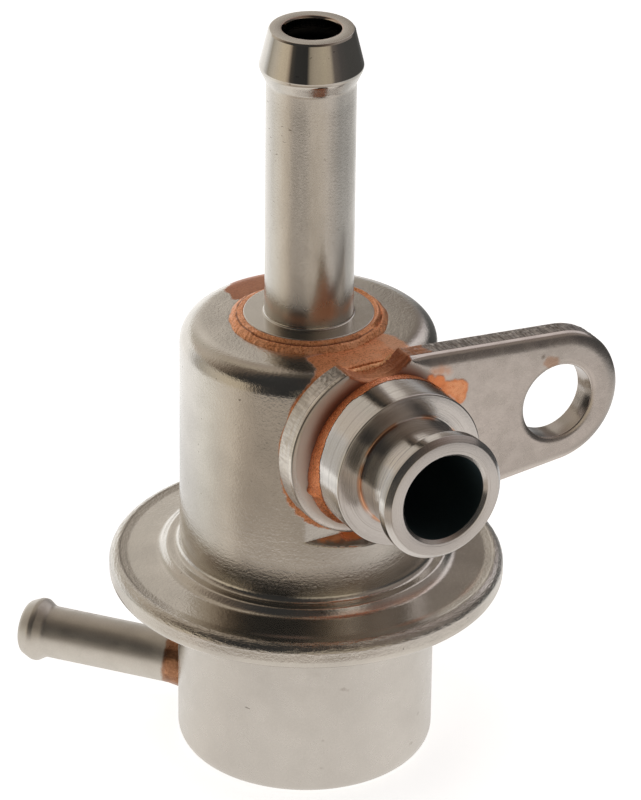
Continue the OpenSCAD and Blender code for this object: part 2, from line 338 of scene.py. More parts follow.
def waves(seed, count, m_range, k_range):
    """Repeatable ripple pattern over an angle t and a length s, about -1..1."""
    rng = np.random.default_rng(seed)
    m = rng.integers(m_range[0], m_range[1], count)
    k = rng.uniform(k_range[0], k_range[1], count) * rng.choice([-1, 1], count)
    ph = rng.uniform(0, 2 * math.pi, count)

    def at(t, s):
        total = np.zeros(np.broadcast(t, s).shape)
        for mi, ki, pi in zip(m, k, ph):
            total = total + np.sin(mi * t + ki * s + pi)
        return total / math.sqrt(count)

    return at


def cut(obj, cutter):
    mod = obj.modifiers.new("cut", "BOOLEAN")
    mod.operation = "DIFFERENCE"
    mod.solver = "EXACT"
    mod.object = cutter
    bpy.context.view_layer.objects.active = obj
    bpy.ops.object.modifier_apply(modifier=mod.name)
    me = cutter.data
    bpy.data.objects.remove(cutter)
    bpy.data.meshes.remove(me)
    obj.data.polygons.foreach_set("use_smooth", [True] * len(obj.data.polygons))
    obj.data.set_sharp_from_angle(angle=math.radians(32))


def dress(obj, mat, slot, *nodes, body="housing"):
    obj.data.materials.clear()
    obj.data.materials.append(mat)
    if body:
        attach(obj, body)
    if nodes:
        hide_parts(*nodes)
    return obj


def sstep(a, b, x):
    w = np.clip((x - a) / (b - a), 0, 1)
    return w * w * (3 - 2 * w)


# ---------------------------------------------------------------- finishes
STEEL = (0.655, 0.615, 0.555)


def steel_base(m, tone=STEEL, cloud=0.10, pits=0.6):
    """Warm grey nickel-plated steel: cloudy tone with a few dark pits."""
    c1 = m.noise(m.p, 0.22, 3.0, 0.55)
    c2 = m.noise(m.p, 7.0, 2.0, 0.6)
    tone_value = m.f("ADD", m.step(c1, 0.25, 0.75, 1.0 - cloud, 1.0 + cloud * 0.4), m.step(c2, 0.3, 0.75, -0.03, 0.03))
    colour = m.tint(tone, tone_value)
    if pits:
        pit = m.step(m.noise(m.p, 2.4, 1.0, 0.4), 0.775, 0.82)
        colour = m.mix(m.f("MULTIPLY", pit, pits), colour, (0.13, 0.11, 0.09))
    return colour


# How far the brazing metal wetted the shell, from the centre of the plate's round end, by height.
WET_REACH = [
    (26.5, 8.9), (28.5, 8.92), (30.0, 8.62), (31.5, 8.2), (32.5, 7.9), (33.6, 7.55), (34.6, 7.25), (37.5, 7.25),
    (39.0, 7.5), (40.0, 7.93), (41.2, 8.2), (42.0, 8.26), (42.5, 8.26), (43.5, 8.3),
]


def drawn_steel():
    m = Finish("drawn_steel_finish")
    colour = steel_base(m)
    rough = m.step(m.noise(m.p, 0.5, 3.0, 0.6), 0.3, 0.75, 0.10, 0.17)
    # brown film that spread over the top behind the pipe and from the ring to the plate
    top_back = m.blobs([(-2.7, 8.0, 43, 1.35), (-3.35, 7.0, 43, 0.75), (-1.0, 8.7, 43, 1.9), (0.8, 9.4, 43, 1.7), (2.4, 9.0, 43, 1.1)], (1, 1, 0.35), 0.6, 0.7, 0.10)
    front = m.blobs([(-0.6, -7.5, 42.6, 1.5), (0.9, -7.8, 42.6, 2.2), (3.0, -7.3, 42.6, 1.9), (4.1, -8.3, 42.6, 1.1), (1.2, -9.6, 42.3, 2.2), (2.6, -9.4, 42.3, 2.2)], (1, 1, 0.35), 0.5, 0.8, 0.18)
    film = m.f("MAXIMUM", top_back, front)
    # painted light: the film in front of the pipe is painted paler and lighter; behind the pipe it is a darker brown
    film_painted_light = m.mix(m.step(m.y, -2.0, 2.0), (1.18, 1.25, 1.35), (0.66, 0.50, 0.40))
    # brazing metal drawn out along the plate's edge, on the ledge and in the ring's root
    rho = m.radius((-0.4, 35.65), "xz")
    place = m.f("DIVIDE", m.f("SUBTRACT", m.z, 26.0), 18.0)
    reach = m.ramp(place, [((z - 26.0) / 18.0, (r - 7.0) / 3.0) for z, r in WET_REACH])
    reach = m.f("ADD", m.f("MULTIPLY", reach, 3.0), 7.0)
    teeth = m.f("MULTIPLY", m.f("SUBTRACT", m.noise(m.p, 1.7, 4.0, 0.7), 0.5), m.step(m.z, 33.0, 29.0, 0.35, 0.95))
    wet = m.step(m.f("SUBTRACT", rho, m.f("ADD", reach, teeth)), 0.10, -0.08)
    wet = m.f("MULTIPLY", wet, m.step(m.y, -6.2, -6.9))
    low = m.step(m.y, -11.05, -10.75)
    ledge = m.blobs([(-1.7, -10.2, 26.5, 0.5), (-0.8, -10.4, 26.35, 0.8), (0.6, -10.5, 26.2, 1.0)], (1, 0.7, 1), 0.35, 0.8, 0.45)
    ledge = m.f("MULTIPLY", ledge, low)
    ring = m.step(m.f("ABSOLUTE", m.f("SUBTRACT", m.radius(), 16.35)), 0.42, 0.05)
    ring = m.f("MULTIPLY", ring, m.step(m.noise(m.p, 0.16, 2.0), 0.42, 0.62, 0.04, 0.34))
    ring2 = m.step(m.f("ABSOLUTE", m.f("SUBTRACT", m.radius(), 13.35)), 0.40, 0.05)
    ring2 = m.f("MULTIPLY", ring2, m.step(m.noise(m.p, 0.2, 2.0), 0.46, 0.62, 0.0, 0.34))
    ring = m.f("MULTIPLY", m.f("MAXIMUM", ring, ring2), m.step(m.y, -10.0, -14.0))
    ring = m.f("MULTIPLY", ring, m.step(m.z, 18.9, 19.3))
    cu = m.f("MAXIMUM", wet, m.f("MAXIMUM", ledge, ring))
    colour = m.mix(film, colour, m.v("MINIMUM", m.v("MULTIPLY", m.film_colour(), film_painted_light), (0.98, 0.9, 0.8)))
    colour = m.mix(cu, colour, m.copper_colour())
    # painted light: the brazing metal on the ledge under the port is painted a brighter orange than the rest, for light
    # the shaded ledge does not get
    colour = m.mix(ledge, colour, (1.0, 0.43, 0.17))
    dull = m.f("MAXIMUM", m.f("MULTIPLY", film, 0.3), m.f("MAXIMUM", m.f("MULTIPLY", cu, 0.45), m.f("MULTIPLY", ledge, 0.8)))
    m.put(m.bsdf.inputs["Metallic"], m.f("SUBTRACT", 1.0, dull))
    rough = m.blend(film, rough, 0.34)
    rough = m.blend(cu, rough, 0.40)
    # fine orange-peel of the drawn skin, faint draw lines round the wall, long wrinkles on the rolled rim
    m.bump(m.noise(m.p, 3.8, 3.0, 0.68), 0.023)
    lines = m.noise(m.v("MULTIPLY", m.p, (0.25, 0.25, 3.2)), 1.0, 3.0, 0.6)
    m.bump(m.f("MULTIPLY", lines, m.step(m.z, 36.0, 27.0, 0.3, 1.0)), 0.009)
    around = m.f("MULTIPLY", m.f("ARCTAN2", m.y, m.x), 17.7)
    rim = m.f("MULTIPLY", m.step(m.radius(), 17.0, 17.35), m.step(m.z, 18.5, 18.9))
    fold = m.noise(m.xyz(m.f("MULTIPLY", around, 1.5), m.f("MULTIPLY", m.z, 6.5), m.f("MULTIPLY", m.radius(), 6.5)), 1.0, 3.0, 0.66)
    m.bump(m.f("MULTIPLY", fold, rim), 0.05)
    m.bump(cu, 0.012)
    return m.done(colour, rough)


def cup_steel():
    m = Finish("cover_steel_finish")
    colour = steel_base(m, (0.665, 0.632, 0.585), 0.05, 0.0)
    rough = m.step(m.noise(m.p, 0.6, 3.0, 0.6), 0.3, 0.75, 0.26, 0.34)
    scratch = m.blobs([(-9.85, -6.4, 8.75, 0.13), (-9.7, -6.62, 8.7, 0.1)], (1, 1, 2.4), 0.12, 3.0, 0.05)
    scuff = m.blobs([(-2.6, -11.46, 11.2, 0.25), (-2.2, -11.54, 11.0, 0.18), (-4.4, -10.9, 6.0, 0.14), (-4.5, -10.85, 3.1, 0.16), (6.3, -9.92, 5.3, 0.2), (5.2, -10.54, 2.7, 0.22)], (1, 1, 1.6), 0.3, 2.0, 0.14)
    colour = m.mix(m.f("MULTIPLY", scratch, 0.7), colour, (0.14, 0.12, 0.10))
    colour = m.mix(m.f("MULTIPLY", scuff, 0.35), colour, (0.30, 0.26, 0.22))
    m.bump(m.noise(m.p, 4.0, 3.0, 0.6), 0.009)
    m.bump(m.noise(m.v("MULTIPLY", m.p, (0.2, 0.2, 3.0)), 1.0, 3.0, 0.6), 0.005)
    return m.done(colour, rough)


def pipe_steel():
    m = Finish("pipe_finish")
    colour = steel_base(m, STEEL, 0.06, 0.35)
    cone = m.step(m.z, 67.2, 67.6)
    shank = m.f("MULTIPLY", m.step(m.z, 66.4, 65.8), m.step(m.z, 43.85, 43.95))
    rough = m.step(m.noise(m.v("MULTIPLY", m.p, (1.2, 1.2, 0.25)), 1.0, 3.0, 0.6), 0.3, 0.75, 0.19, 0.27)
    rough = m.blend(cone, rough, 0.06)
    rough = m.blend(m.step(m.z, 71.2, 71.28), rough, 0.2)
    rough = m.blend(m.f("MULTIPLY", shank, m.step(m.z, 49.5, 45.0)), rough, 0.28)
    foot = m.f("MULTIPLY", m.step(m.z, 44.15, 44.02), m.step(m.radius(), 4.3, 4.2))
    rough = m.blend(foot, rough, 0.07)
    pores = m.step(m.noise(m.p, 3.4, 2.0, 0.6), 0.66, 0.74)
    colour = m.mix(m.f("MULTIPLY", m.f("MULTIPLY", pores, shank), 0.3), colour, (0.25, 0.22, 0.19))
    # short handling scratches on the upper left of the shank
    nick = m.noise(m.v("MULTIPLY", m.p, (1.6, 1.6, 4.5)), 1.0, 2.0, 0.5)
    nick = m.f("MULTIPLY", m.step(nick, 0.68, 0.73), m.step(m.z, 56.0, 59.0))
    nick = m.f("MULTIPLY", nick, m.step(m.v("DOT_PRODUCT", m.p, tuple(RIGHT)), -0.6, -1.4))
    colour = m.mix(m.f("MULTIPLY", m.f("MULTIPLY", nick, shank), 0.6), colour, (0.16, 0.12, 0.09))
    lip = m.f("MULTIPLY", m.step(m.f("ABSOLUTE", m.f("SUBTRACT", m.radius(), 2.68)), 0.16, 0.05), m.step(m.z, 71.0, 71.2))
    colour = m.mix(m.f("MULTIPLY", lip, 0.45), colour, (0.55, 0.33, 0.24))
    # painted shade: the bore below the top is painted near black for the shade inside the tube
    bore = m.f("MULTIPLY", m.step(m.radius(), 2.66, 2.62), m.step(m.z, 70.9, 69.5))
    colour = m.mix(bore, colour, (0.02, 0.022, 0.025))
    rough = m.blend(bore, rough, 0.6)
    m.bump(m.f("MULTIPLY", m.noise(m.p, 4.6, 3.0, 0.62), m.f("SUBTRACT", 1.0, cone)), 0.010)
    return m.done(colour, rough)


def port_steel():
    m = Finish("port_finish", Anisotropic=0.65, Anisotropic_Rotation=0.25)
    tangent = m.node("ShaderNodeTangent", direction_type="RADIAL", axis="Y")
    m.put(m.bsdf.inputs["Tangent"], tangent.outputs[0])
    r = m.radius((0, 36), "xz")
    length = m.f("MULTIPLY", m.y, -1.0)
    track = m.xyz(r, length, m.f("MULTIPLY", m.noise(m.p, 0.15, 1.0), 0.15))
    marks = m.noise(track, 10.0, 3.0, 0.65)
    colour = steel_base(m, (0.75, 0.715, 0.68), 0.05, 0.0)
    colour = m.mix(m.step(marks, 0.52, 0.68, 0.0, 0.5), colour, (0.34, 0.31, 0.285))
    rough = m.step(m.noise(track, 2.2, 2.0, 0.5), 0.3, 0.7, 0.09, 0.17)
    # end face: a few small turned pits and a duller skin
    end = m.step(length, 23.45, 23.6)
    nib = m.step(m.noise(m.p, 2.2, 1.0, 0.4), 0.76, 0.82)
    colour = m.mix(m.f("MULTIPLY", m.f("MULTIPLY", nib, end), 0.4), colour, (0.22, 0.19, 0.17))
    rough = m.blend(end, rough, 0.26)
    stain = m.f("MULTIPLY", m.step(m.f("ABSOLUTE", m.f("SUBTRACT", length, 17.98)), 0.22, 0.04), m.step(r, 5.45, 5.2))
    stain = m.f("MULTIPLY", stain, m.step(m.noise(m.p, 0.35, 2.0), 0.36, 0.52))
    colour = m.mix(m.f("MULTIPLY", stain, 0.85), colour, (0.70, 0.34, 0.17))
    # painted shade: the bore is painted a dark bluish grey for the shade inside it
    bore = m.step(r, 4.06, 4.02)
    bore = m.f("MULTIPLY", bore, m.step(length, 23.75, 23.62))
    colour = m.mix(bore, colour, (0.10, 0.15, 0.17))
    rough = m.blend(bore, rough, 0.5)
    m.bump(marks, 0.008)
    m.bump(m.noise(m.p, 5.0, 2.0, 0.6), 0.003)
    return m.done(colour, rough)


def plate_steel():
    m = Finish("plate_finish")
    colour = steel_base(m, (0.665, 0.605, 0.555), 0.06, 0.25)
    rough = m.step(m.noise(m.p, 0.7, 3.0, 0.6), 0.3, 0.75, 0.20, 0.30)
    # sheared edge: rougher, streaked across the thickness, torn towards the back
    geo = m.node("ShaderNodeNewGeometry")
    sep = m.node("ShaderNodeSeparateXYZ")
    m.put(sep.inputs[0], geo.outputs["Normal"])
    edge = m.f("MULTIPLY", m.step(m.f("ABSOLUTE", sep.outputs[1]), 0.55, 0.25), m.step(m.y, -11.73, -11.67))
    bolt = m.step(m.radius((18.85, 35.55), "xz"), 4.4, 4.5)
    edge = m.f("MULTIPLY", edge, bolt)
    streak = m.noise(m.v("MULTIPLY", m.p, (5.5, 0.6, 5.5)), 1.0, 4.0, 0.7)
    fleck = m.noise(m.v("MULTIPLY", m.p, (4.0, 2.5, 4.0)), 1.0, 3.0, 0.7)
    torn = m.step(m.y, -11.3, -10.9)
    arm = m.step(m.x, -4.5, 1.5)
    shade = m.f("MULTIPLY", m.step(streak, 0.40, 0.62, 0.15, 0.9), m.blend(arm, 0.38, 1.0))
    colour = m.mix(m.f("MULTIPLY", edge, shade), colour, m.mix(arm, (0.40, 0.37, 0.34), (0.155, 0.137, 0.122)))
    flecks = m.f("MULTIPLY", m.step(fleck, 0.48, 0.62, 0.0, 0.6), m.blend(arm, 0.5, 1.0))
    colour = m.mix(m.f("MULTIPLY", m.f("MULTIPLY", edge, torn), flecks), colour, (0.20, 0.165, 0.135))
    rough = m.blend(edge, rough, m.step(streak, 0.3, 0.7, 0.30, 0.48))
    # round the left end: the sheared edge is painted lighter as a painted highlight, with a darker torn patch near its
    # top and a thin painted shadow line along its front corner
    lit_round_end_edge = m.f("MULTIPLY", m.step(m.f("ABSOLUTE", sep.outputs[1]), 0.55, 0.25), m.step(m.x, -1.5, -4.0))
    lit_round_end_edge = m.f("MULTIPLY", lit_round_end_edge, m.step(m.z, 33.0, 35.5, 0.0, 0.75))
    ripped = m.f("MULTIPLY", lit_round_end_edge, m.step(m.z, 41.7, 42.8, 0.0, 1.2))
    lit_round_end_edge = m.f("MULTIPLY", lit_round_end_edge, m.step(m.z, 43.0, 41.0, 0.35, 1.0))
    # painted highlight: the left end's sheared edge is painted a pale streaked grey
    colour = m.mix(lit_round_end_edge, colour, m.mix(m.step(streak, 0.40, 0.62), (0.95, 0.90, 0.83), (0.80, 0.755, 0.69)))
    colour = m.mix(m.f("MULTIPLY", ripped, m.step(fleck, 0.44, 0.60, 0.15, 0.7)), colour, (0.17, 0.152, 0.134))
    # painted shadow: a thin near-black line painted along the front corner of the left end
    corner = m.f("MULTIPLY", m.step(m.f("ABSOLUTE", m.f("ADD", m.y, 12.14)), 0.10, 0.04), m.step(m.x, -0.5, -2.5))
    corner = m.f("MULTIPLY", corner, m.step(m.radius((-0.4, 35.65), "xz"), 7.9, 8.1))
    corner = m.f("MULTIPLY", corner, m.step(m.z, 32.0, 38.5, 0.2, 0.9))
    colour = m.mix(corner, colour, (0.05, 0.042, 0.036))
    # painted shade: where the front edge rolls into the bolt hole it is painted darker
    wall = m.f("MULTIPLY", m.step(m.radius((18.85, 35.55), "xz"), 3.9, 3.7), m.step(m.y, -12.25, -12.0))
    colour = m.mix(m.f("MULTIPLY", wall, 0.6), colour, (0.36, 0.325, 0.295))
    rough = m.blend(wall, rough, 0.16)
    # brazing metal in the notch, along the first of the top edge, and the splash on the face
    notch = m.radius((0.15, 46.65), "xz")
    ragged = m.f("MULTIPLY", m.f("SUBTRACT", m.noise(m.p, 1.1, 4.0, 0.6), 0.5), 0.9)
    in_notch = m.step(m.f("ADD", notch, m.f("MULTIPLY", ragged, 0.5)), 4.62, 4.42)
    run = m.f("MULTIPLY", edge, m.step(m.f("ADD", m.x, m.f("MULTIPLY", ragged, 2.2)), 6.0, 5.5))
    run = m.f("MULTIPLY", run, m.step(m.x, 3.0, 3.4))
    run = m.f("MULTIPLY", run, m.step(m.z, 41.0, 42.0))
    lobes = [(6.2, 40.65, 0.72), (5.35, 41.15, 0.42), (7.2, 39.85, 0.75), (8.3, 39.45, 0.95), (8.5, 38.5, 0.6), (7.9, 40.0, 0.45)]
    splash = m.blobs([(x, -12.35, z, r) for x, z, r in lobes], (1, 0.2, 1), 0.20, 1.1, 0.14, 3.0)
    core = m.blobs([(x, -12.35, z, r - 0.22) for x, z, r in lobes], (1, 0.2, 1), 0.26, 1.3, 0.2, 3.0)
    bare = m.blobs([(7.4, -12.35, 40.85, 0.34)], (1, 0.2, 1), 0.2, 1.2, 0.2)
    splash = m.f("MULTIPLY", splash, m.f("SUBTRACT", 1.0, bare))
    mist = m.blobs([(6.45, -12.35, 41.65, 0.5), (5.75, -12.35, 41.75, 0.4), (7.1, -12.35, 41.5, 0.3)], (1, 0.2, 1), 0.5, 1.2, 0.5)
    patch = m.blobs([(17.75, -12.35, 39.75, 0.6), (18.35, -12.35, 39.6, 0.55)], (1, 0.2, 1.1), 0.35, 1.3, 0.2)
    spot_dark = m.blobs([(17.15, -12.35, 40.5, 0.2)], (1, 0.2, 1), 0.2, 2.0, 0.15)
    # painted reflection: a dark red-brown ring on the plate round the bead, stronger higher up, stands in for the
    # bead's reflection in the plate
    bead_reflection = m.step(m.radius((0, 36), "xz"), 7.7, 6.6, 0.0, 0.94)
    bead_reflection = m.f("MULTIPLY", bead_reflection, m.step(m.z, 34.5, 39.0, 0.15, 1.0))
    # painted light: left of the bead the plate face is painted pale and made mostly non-metallic so it looks evenly lit
    near = m.f("MULTIPLY", m.step(m.radius((0, 36), "xz"), 8.5, 7.9), m.f("SUBTRACT", 1.0, splash))
    near = m.f("MULTIPLY", near, m.step(m.y, -12.1, -12.25))
    near = m.f("MULTIPLY", near, m.step(m.x, -1.5, -3.5))
    colour = m.mix(m.f("MULTIPLY", near, m.step(m.z, 39.5, 38.0, 0.8, 0.95)), colour, (0.92, 0.865, 0.80))
    colour = m.mix(m.f("MULTIPLY", bead_reflection, m.f("SUBTRACT", 1.0, splash)), colour, (0.42, 0.20, 0.125))
    colour = m.mix(m.f("MULTIPLY", patch, 0.62), colour, (0.50, 0.26, 0.14))
    colour = m.mix(m.f("MULTIPLY", spot_dark, 0.6), colour, (0.16, 0.11, 0.08))
    side_tone = m.step(m.f("ADD", m.x, m.f("MULTIPLY", ragged, 1.2)), 6.5, 7.7)
    pale = m.mix(side_tone, (0.86, 0.30, 0.125), (0.98, 0.445, 0.23))
    pale = m.mix(m.step(m.noise(m.p, 2.6, 3.0, 0.65), 0.52, 0.70, 0.0, 0.6), pale, (0.74, 0.22, 0.08))
    pale = m.mix(m.f("MULTIPLY", m.f("SUBTRACT", 1.0, core), 0.6), pale, (0.74, 0.25, 0.10))
    colour = m.mix(m.f("MULTIPLY", mist, 0.7), colour, (0.72, 0.36, 0.21))
    colour = m.mix(splash, colour, pale)
    # painted shade: the film in the notch is painted darker towards the notch's right wall
    deep = m.mix(m.step(m.x, 0.6, 2.4), (1.0, 0.88, 0.80), (0.62, 0.43, 0.36))
    colour = m.mix(in_notch, colour, m.v("MULTIPLY", m.film_colour(), deep))
    colour = m.mix(m.f("MULTIPLY", run, m.step(streak, 0.36, 0.55, 0.55, 1.0)), colour, m.tint(m.copper_colour(), 0.62))
    cu = m.f("MAXIMUM", m.f("MAXIMUM", in_notch, run), splash)
    root = m.f("MULTIPLY", m.step(m.radius((0, 36), "xz"), 8.1, 7.3), m.f("SUBTRACT", 1.0, splash))
    root = m.f("MULTIPLY", root, m.step(m.y, -12.1, -12.25))
    m.put(m.bsdf.inputs["Metallic"], m.f("SUBTRACT", 1.0, m.f("MAXIMUM", m.f("MAXIMUM", m.f("MULTIPLY", root, 0.4), m.f("MULTIPLY", near, m.step(m.z, 41.0, 38.5, 0.5, 0.92))), m.f("MULTIPLY", in_notch, 0.3))))
    rough = m.blend(m.f("MAXIMUM", in_notch, run), rough, 0.34)
    rough = m.blend(m.f("MAXIMUM", root, near), rough, 0.58)
    m.bump(m.noise(m.p, 4.5, 3.0, 0.6), 0.006)
    m.bump(m.f("MULTIPLY", m.noise(m.v("MULTIPLY", m.p, (5.0, 0.6, 5.0)), 1.0, 3.0, 0.65), m.f("MULTIPLY", edge, m.blend(arm, 0.4, 1.0))), 0.08)
    m.bump(m.f("MULTIPLY", fleck, m.f("MULTIPLY", edge, torn)), 0.06)
    m.bump(cu, 0.006)
    m.bump(m.f("MULTIPLY", m.noise(m.p, 2.6, 4.0, 0.66), m.f("MAXIMUM", in_notch, run)), 0.04)
    m.bump(m.f("MULTIPLY", m.noise(m.p, 2.2, 3.0, 0.6), splash), 0.012)
    m.bump(m.f("MULTIPLY", m.noise(m.p, 6.0, 2.0, 0.6), in_notch), 0.03)
    return m.done(colour, rough)


def nipple_steel():
    m = Finish("nipple_finish")
    colour = steel_base(m, STEEL, 0.06, 0.0)
    # distance out along the tube, which leaves the cup at an angle to the axes
    out = m.v("DOT_PRODUCT", m.p, (-0.6252, 0.7804, 0.0))
    wob = m.f("MULTIPLY", m.f("SUBTRACT", m.noise(m.p, 0.8, 3.0), 0.5), 0.9)
    band = m.step(m.f("ADD", out, wob), 13.65, 13.3)
    colour = m.mix(m.f("MULTIPLY", band, 0.92), colour, m.tint(m.film_colour(), 0.52))
    rough = m.step(m.noise(m.p, 0.8, 3.0, 0.6), 0.3, 0.75, 0.38, 0.48)
    rough = m.blend(band, rough, 0.36)
    m.bump(m.noise(m.p, 4.5, 3.0, 0.6), 0.006)
    return m.done(colour, rough)


def braze_copper(name="braze_finish", tone=(1.0, 1.0, 1.0), lo=0.34, hi=0.50, grain=0.06, root=False, metal=0.55, groove_shade=False):
    m = Finish(name, metallic=metal)
    colour = m.v("MULTIPLY", m.copper_colour(), tone)
    if root:
        # painted shade: the bead's root against the plate is painted dark red
        out = m.f("ADD", m.f("MULTIPLY", m.y, -1.0), m.f("MULTIPLY", m.f("SUBTRACT", m.noise(m.p, 1.6, 3.0), 0.5), 0.5))
        colour = m.mix(m.step(out, 12.75, 12.45, 0.0, 0.45), colour, (0.20, 0.07, 0.035))
    if groove_shade:
        # painted shade: a dark line painted in the groove outside the raised lip of the ring
        line = m.step(m.f("ABSOLUTE", m.f("SUBTRACT", m.radius(), 6.5)), 0.12, 0.03)
        line = m.f("MULTIPLY", line, m.step(m.noise(m.p, 0.45, 3.0, 0.6), 0.36, 0.50, 0.0, 0.75))
        colour = m.mix(line, colour, (0.20, 0.07, 0.035))
    rough = m.step(m.noise(m.p, 2.0, 3.0, 0.6), 0.3, 0.75, lo, hi)
    m.bump(m.noise(m.p, 4.0, 3.0, 0.65), grain)
    m.bump(m.noise(m.p, 1.0, 2.0, 0.5), 0.04)
    return m.done(colour, rough)


def foot_film():
    """Dark brown film of brazing metal round the nipple's foot."""
    m = Finish("foot_film_finish")
    colour = m.tint(m.film_colour(), m.step(m.noise(m.p, 1.1, 3.0, 0.6), 0.3, 0.7, 0.42, 0.70))
    m.bump(m.noise(m.p, 3.5, 3.0, 0.6), 0.012)
    return m.done(colour, m.step(m.noise(m.p, 0.9, 2.0), 0.3, 0.7, 0.26, 0.38))


def brass():
    m = Finish("holder_brass_finish")
    colour = m.tint((0.78, 0.60, 0.30), m.step(m.noise(m.p, 0.6, 3.0), 0.2, 0.8, 0.85, 1.08))
    marks = m.noise(m.xyz(m.radius(), m.z, 0.0), 8.0, 3.0, 0.6)
    m.bump(marks, 0.004)
    return m.done(colour, m.step(marks, 0.3, 0.7, 0.20, 0.32))


def rubber():
    m = Finish("diaphragm_finish", metallic=0.0)
    n = m.noise(m.p, 1.5, 4.0, 0.6)
    warp = m.noise(m.v("MULTIPLY", m.p, (3.0, 3.0, 3.0)), 1.0, 1.0)
    colour = m.mix(m.step(n, 0.3, 0.7), (0.012, 0.012, 0.012), (0.032, 0.030, 0.028))
    m.bump(warp, 0.02)
    return m.done(colour, m.step(n, 0.3, 0.7, 0.55, 0.72))


def spring_steel():
    m = Finish("spring_finish")
    n = m.noise(m.p, 1.2, 3.0, 0.6)
    colour = m.mix(m.step(n, 0.3, 0.7), (0.42, 0.40, 0.38), (0.56, 0.54, 0.51))
    m.bump(m.noise(m.p, 5.0, 2.0), 0.004)
    return m.done(colour, m.step(n, 0.3, 0.7, 0.2, 0.32))


DRAWN, CUP, PIPE, PORT = drawn_steel(), cup_steel(), pipe_steel(), port_steel()
PLATE, NIPPLE, COPPER = plate_steel(), nipple_steel(), braze_copper()
BEAD_COPPER = braze_copper("bead_finish", (1.08, 0.88, 0.72), 0.22, 0.36, 0.09, True, 0.68)
RING_COPPER = braze_copper("ring_finish", (1.10, 1.18, 1.24), 0.28, 0.42, 0.10, False, 0.68, True)
# painted highlight: the notch fillet's brazing metal is painted much paler than the other copper, for the light along
# its crest
CREST_HIGHLIGHT_COPPER = braze_copper("crest_highlight_finish", (1.38, 1.58, 1.72), 0.28, 0.40, 0.06, False, 0.6)
FOOT_FILM = foot_film()
BRASS, RUBBER, SPRING = brass(), rubber(), spring_steel()


# ---------------------------------------------------------------- upper housing
OUT = [
    (4.06, 43.03), (7.3, 43.03, 4.0), (11.6, 42.92, 2.2), (11.6, 27.2), (11.6, 25.2), (11.6, 20.40, 0.6), (12.8, 20.38, 0.42),
    (13.45, 19.72, 1.0), (16.3, 19.47, 1.5),
    (17.0, 19.50, 0.6), (18.05, 19.60, 1.1), (18.05, 16.95, 0.9), (14.42, 16.95, 0.2),
]
IN = [
    (14.42, 17.65), (17.35, 17.65), (17.35, 18.9), (13.6, 18.9, 0.3), (12.7, 19.72, 0.25),
    (10.9, 19.72, 0.8), (10.9, 42.3, 1.5), (4.06, 42.3),
]


def housing_rows(mid):
    r, z = mid
    if r > 11 and 25.0 < z < 27.2:
        return 0.10
    if r > 17.0 and z > 18.5:
        return 0.05
    if r > 16.3 and z > 16.5:
        return 0.12
    if z > 27 and r > 9:
        return 0.8
    return 0.9


ring_out = dense(rounded(OUT, closed=False, steps=14), housing_rows, closed=False)
ring_in = dense(rounded(IN, closed=False, steps=6), 1.2, closed=False)
OUTER_ROWS = len(ring_out)
wrinkle = waves(11, 34, (18, 120), (8.0, 22.0))


def smooth_max(a, b, k):
    return 0.5 * (a + b + np.sqrt((a - b) ** 2 + k * k)) - 0.0


def press_flat(co):
    """Flat pressed on the front of the shell, with a sloping ledge below it."""
    out = co.copy()
    for rows, depth, low in ((slice(0, OUTER_ROWS), 9.95, 26.5), (slice(OUTER_ROWS, None), 9.25, 26.1)):
        y, z = co[rows, :, 1], co[rows, :, 2]
        stop = -depth - np.maximum(0.0, low - z) / 0.56
        pressed = smooth_max(y, stop, 0.05)
        out[rows, :, 1] = np.where((y < 0) & (z > 22), pressed, y)
    return out


def crumple(r, h, t):
    """Light crimp wrinkles over the rolled rim."""
    s = r - h
    amount = 0.0075 * sstep(17.0, 17.4, r) * sstep(18.4, 18.9, h) * (np.arange(len(r))[:, None] < OUTER_ROWS)
    d = wrinkle(t, s) * amount
    return r + d * 0.6, h + d


upper = lathe("upper_shell", ring_out + ring_in, 424, press_flat, warp=crumple)
hole = lathe("port_hole", [(0, -8.0), (5.55, -8.0), (5.55, -13.0), (0, -13.0)], 96,
             lambda c: np.stack([c[..., 0], c[..., 2], c[..., 1] + 36.0], -1), closed=False)
cut(upper, hole)
dress(upper, DRAWN, "drawn_steel", "upper_housing")

# ---------------------------------------------------------------- lower cup
cup = [
    (0, 0.0), (11.75, 0.0, 1.8), (11.75, 17.65, 0.6), (17.3, 17.65), (17.3, 18.35),
    (10.95, 18.35, 1.3), (10.95, 0.8, 1.0), (0, 0.8),
]
cup_rows = dense(rounded(cup, closed=False, steps=12), 1.5, closed=False)
lower = lathe("lower_cup", cup_rows, 320, closed=False)
NIP = Vector((-0.6252, 0.7804, 0.0)).normalized()
NIP_SIDE = Vector((0, 0, 1)).cross(NIP)


def nipple_place(c):
    return (c[..., :1] * np.array(NIP_SIDE) + c[..., 1:2] * np.array((0, 0, 1.0)) + c[..., 2:3] * np.array(NIP)
            + np.array((0, 0, 5.1)))


hole = lathe("nipple_hole", [(0, 9.0), (2.48, 9.0), (2.48, 14.0), (0, 14.0)], 64, nipple_place, closed=False)
cut(lower, hole)
dress(lower, CUP, "cover_steel", "lower_housing")

# ---------------------------------------------------------------- return pipe
pipe = rounded([
    (3.0, 26.52), (4.0, 26.52, 0.15), (4.0, 43.0), (5.9, 43.0), (5.9, 43.8, 0.12), (4.0, 43.8, 0.2),
    (4.0, 66.35, 0.9), (4.69, 67.75, 0.95), (3.86, 71.12, 0.06), (3.72, 71.3, 0.08), (2.68, 71.3, 0.09), (2.6, 71.1, 0.1),
    (2.6, 30.52), (3.0, 30.52),
], steps=9)
dress(lathe("return_tube", dense(pipe, 1.6), 224), PIPE, "turned_steel", "return_pipe")


# ---------------------------------------------------------------- inlet port
def port_place(c):
    return np.stack([c[..., 0], -c[..., 2], c[..., 1] + 36.0], -1)


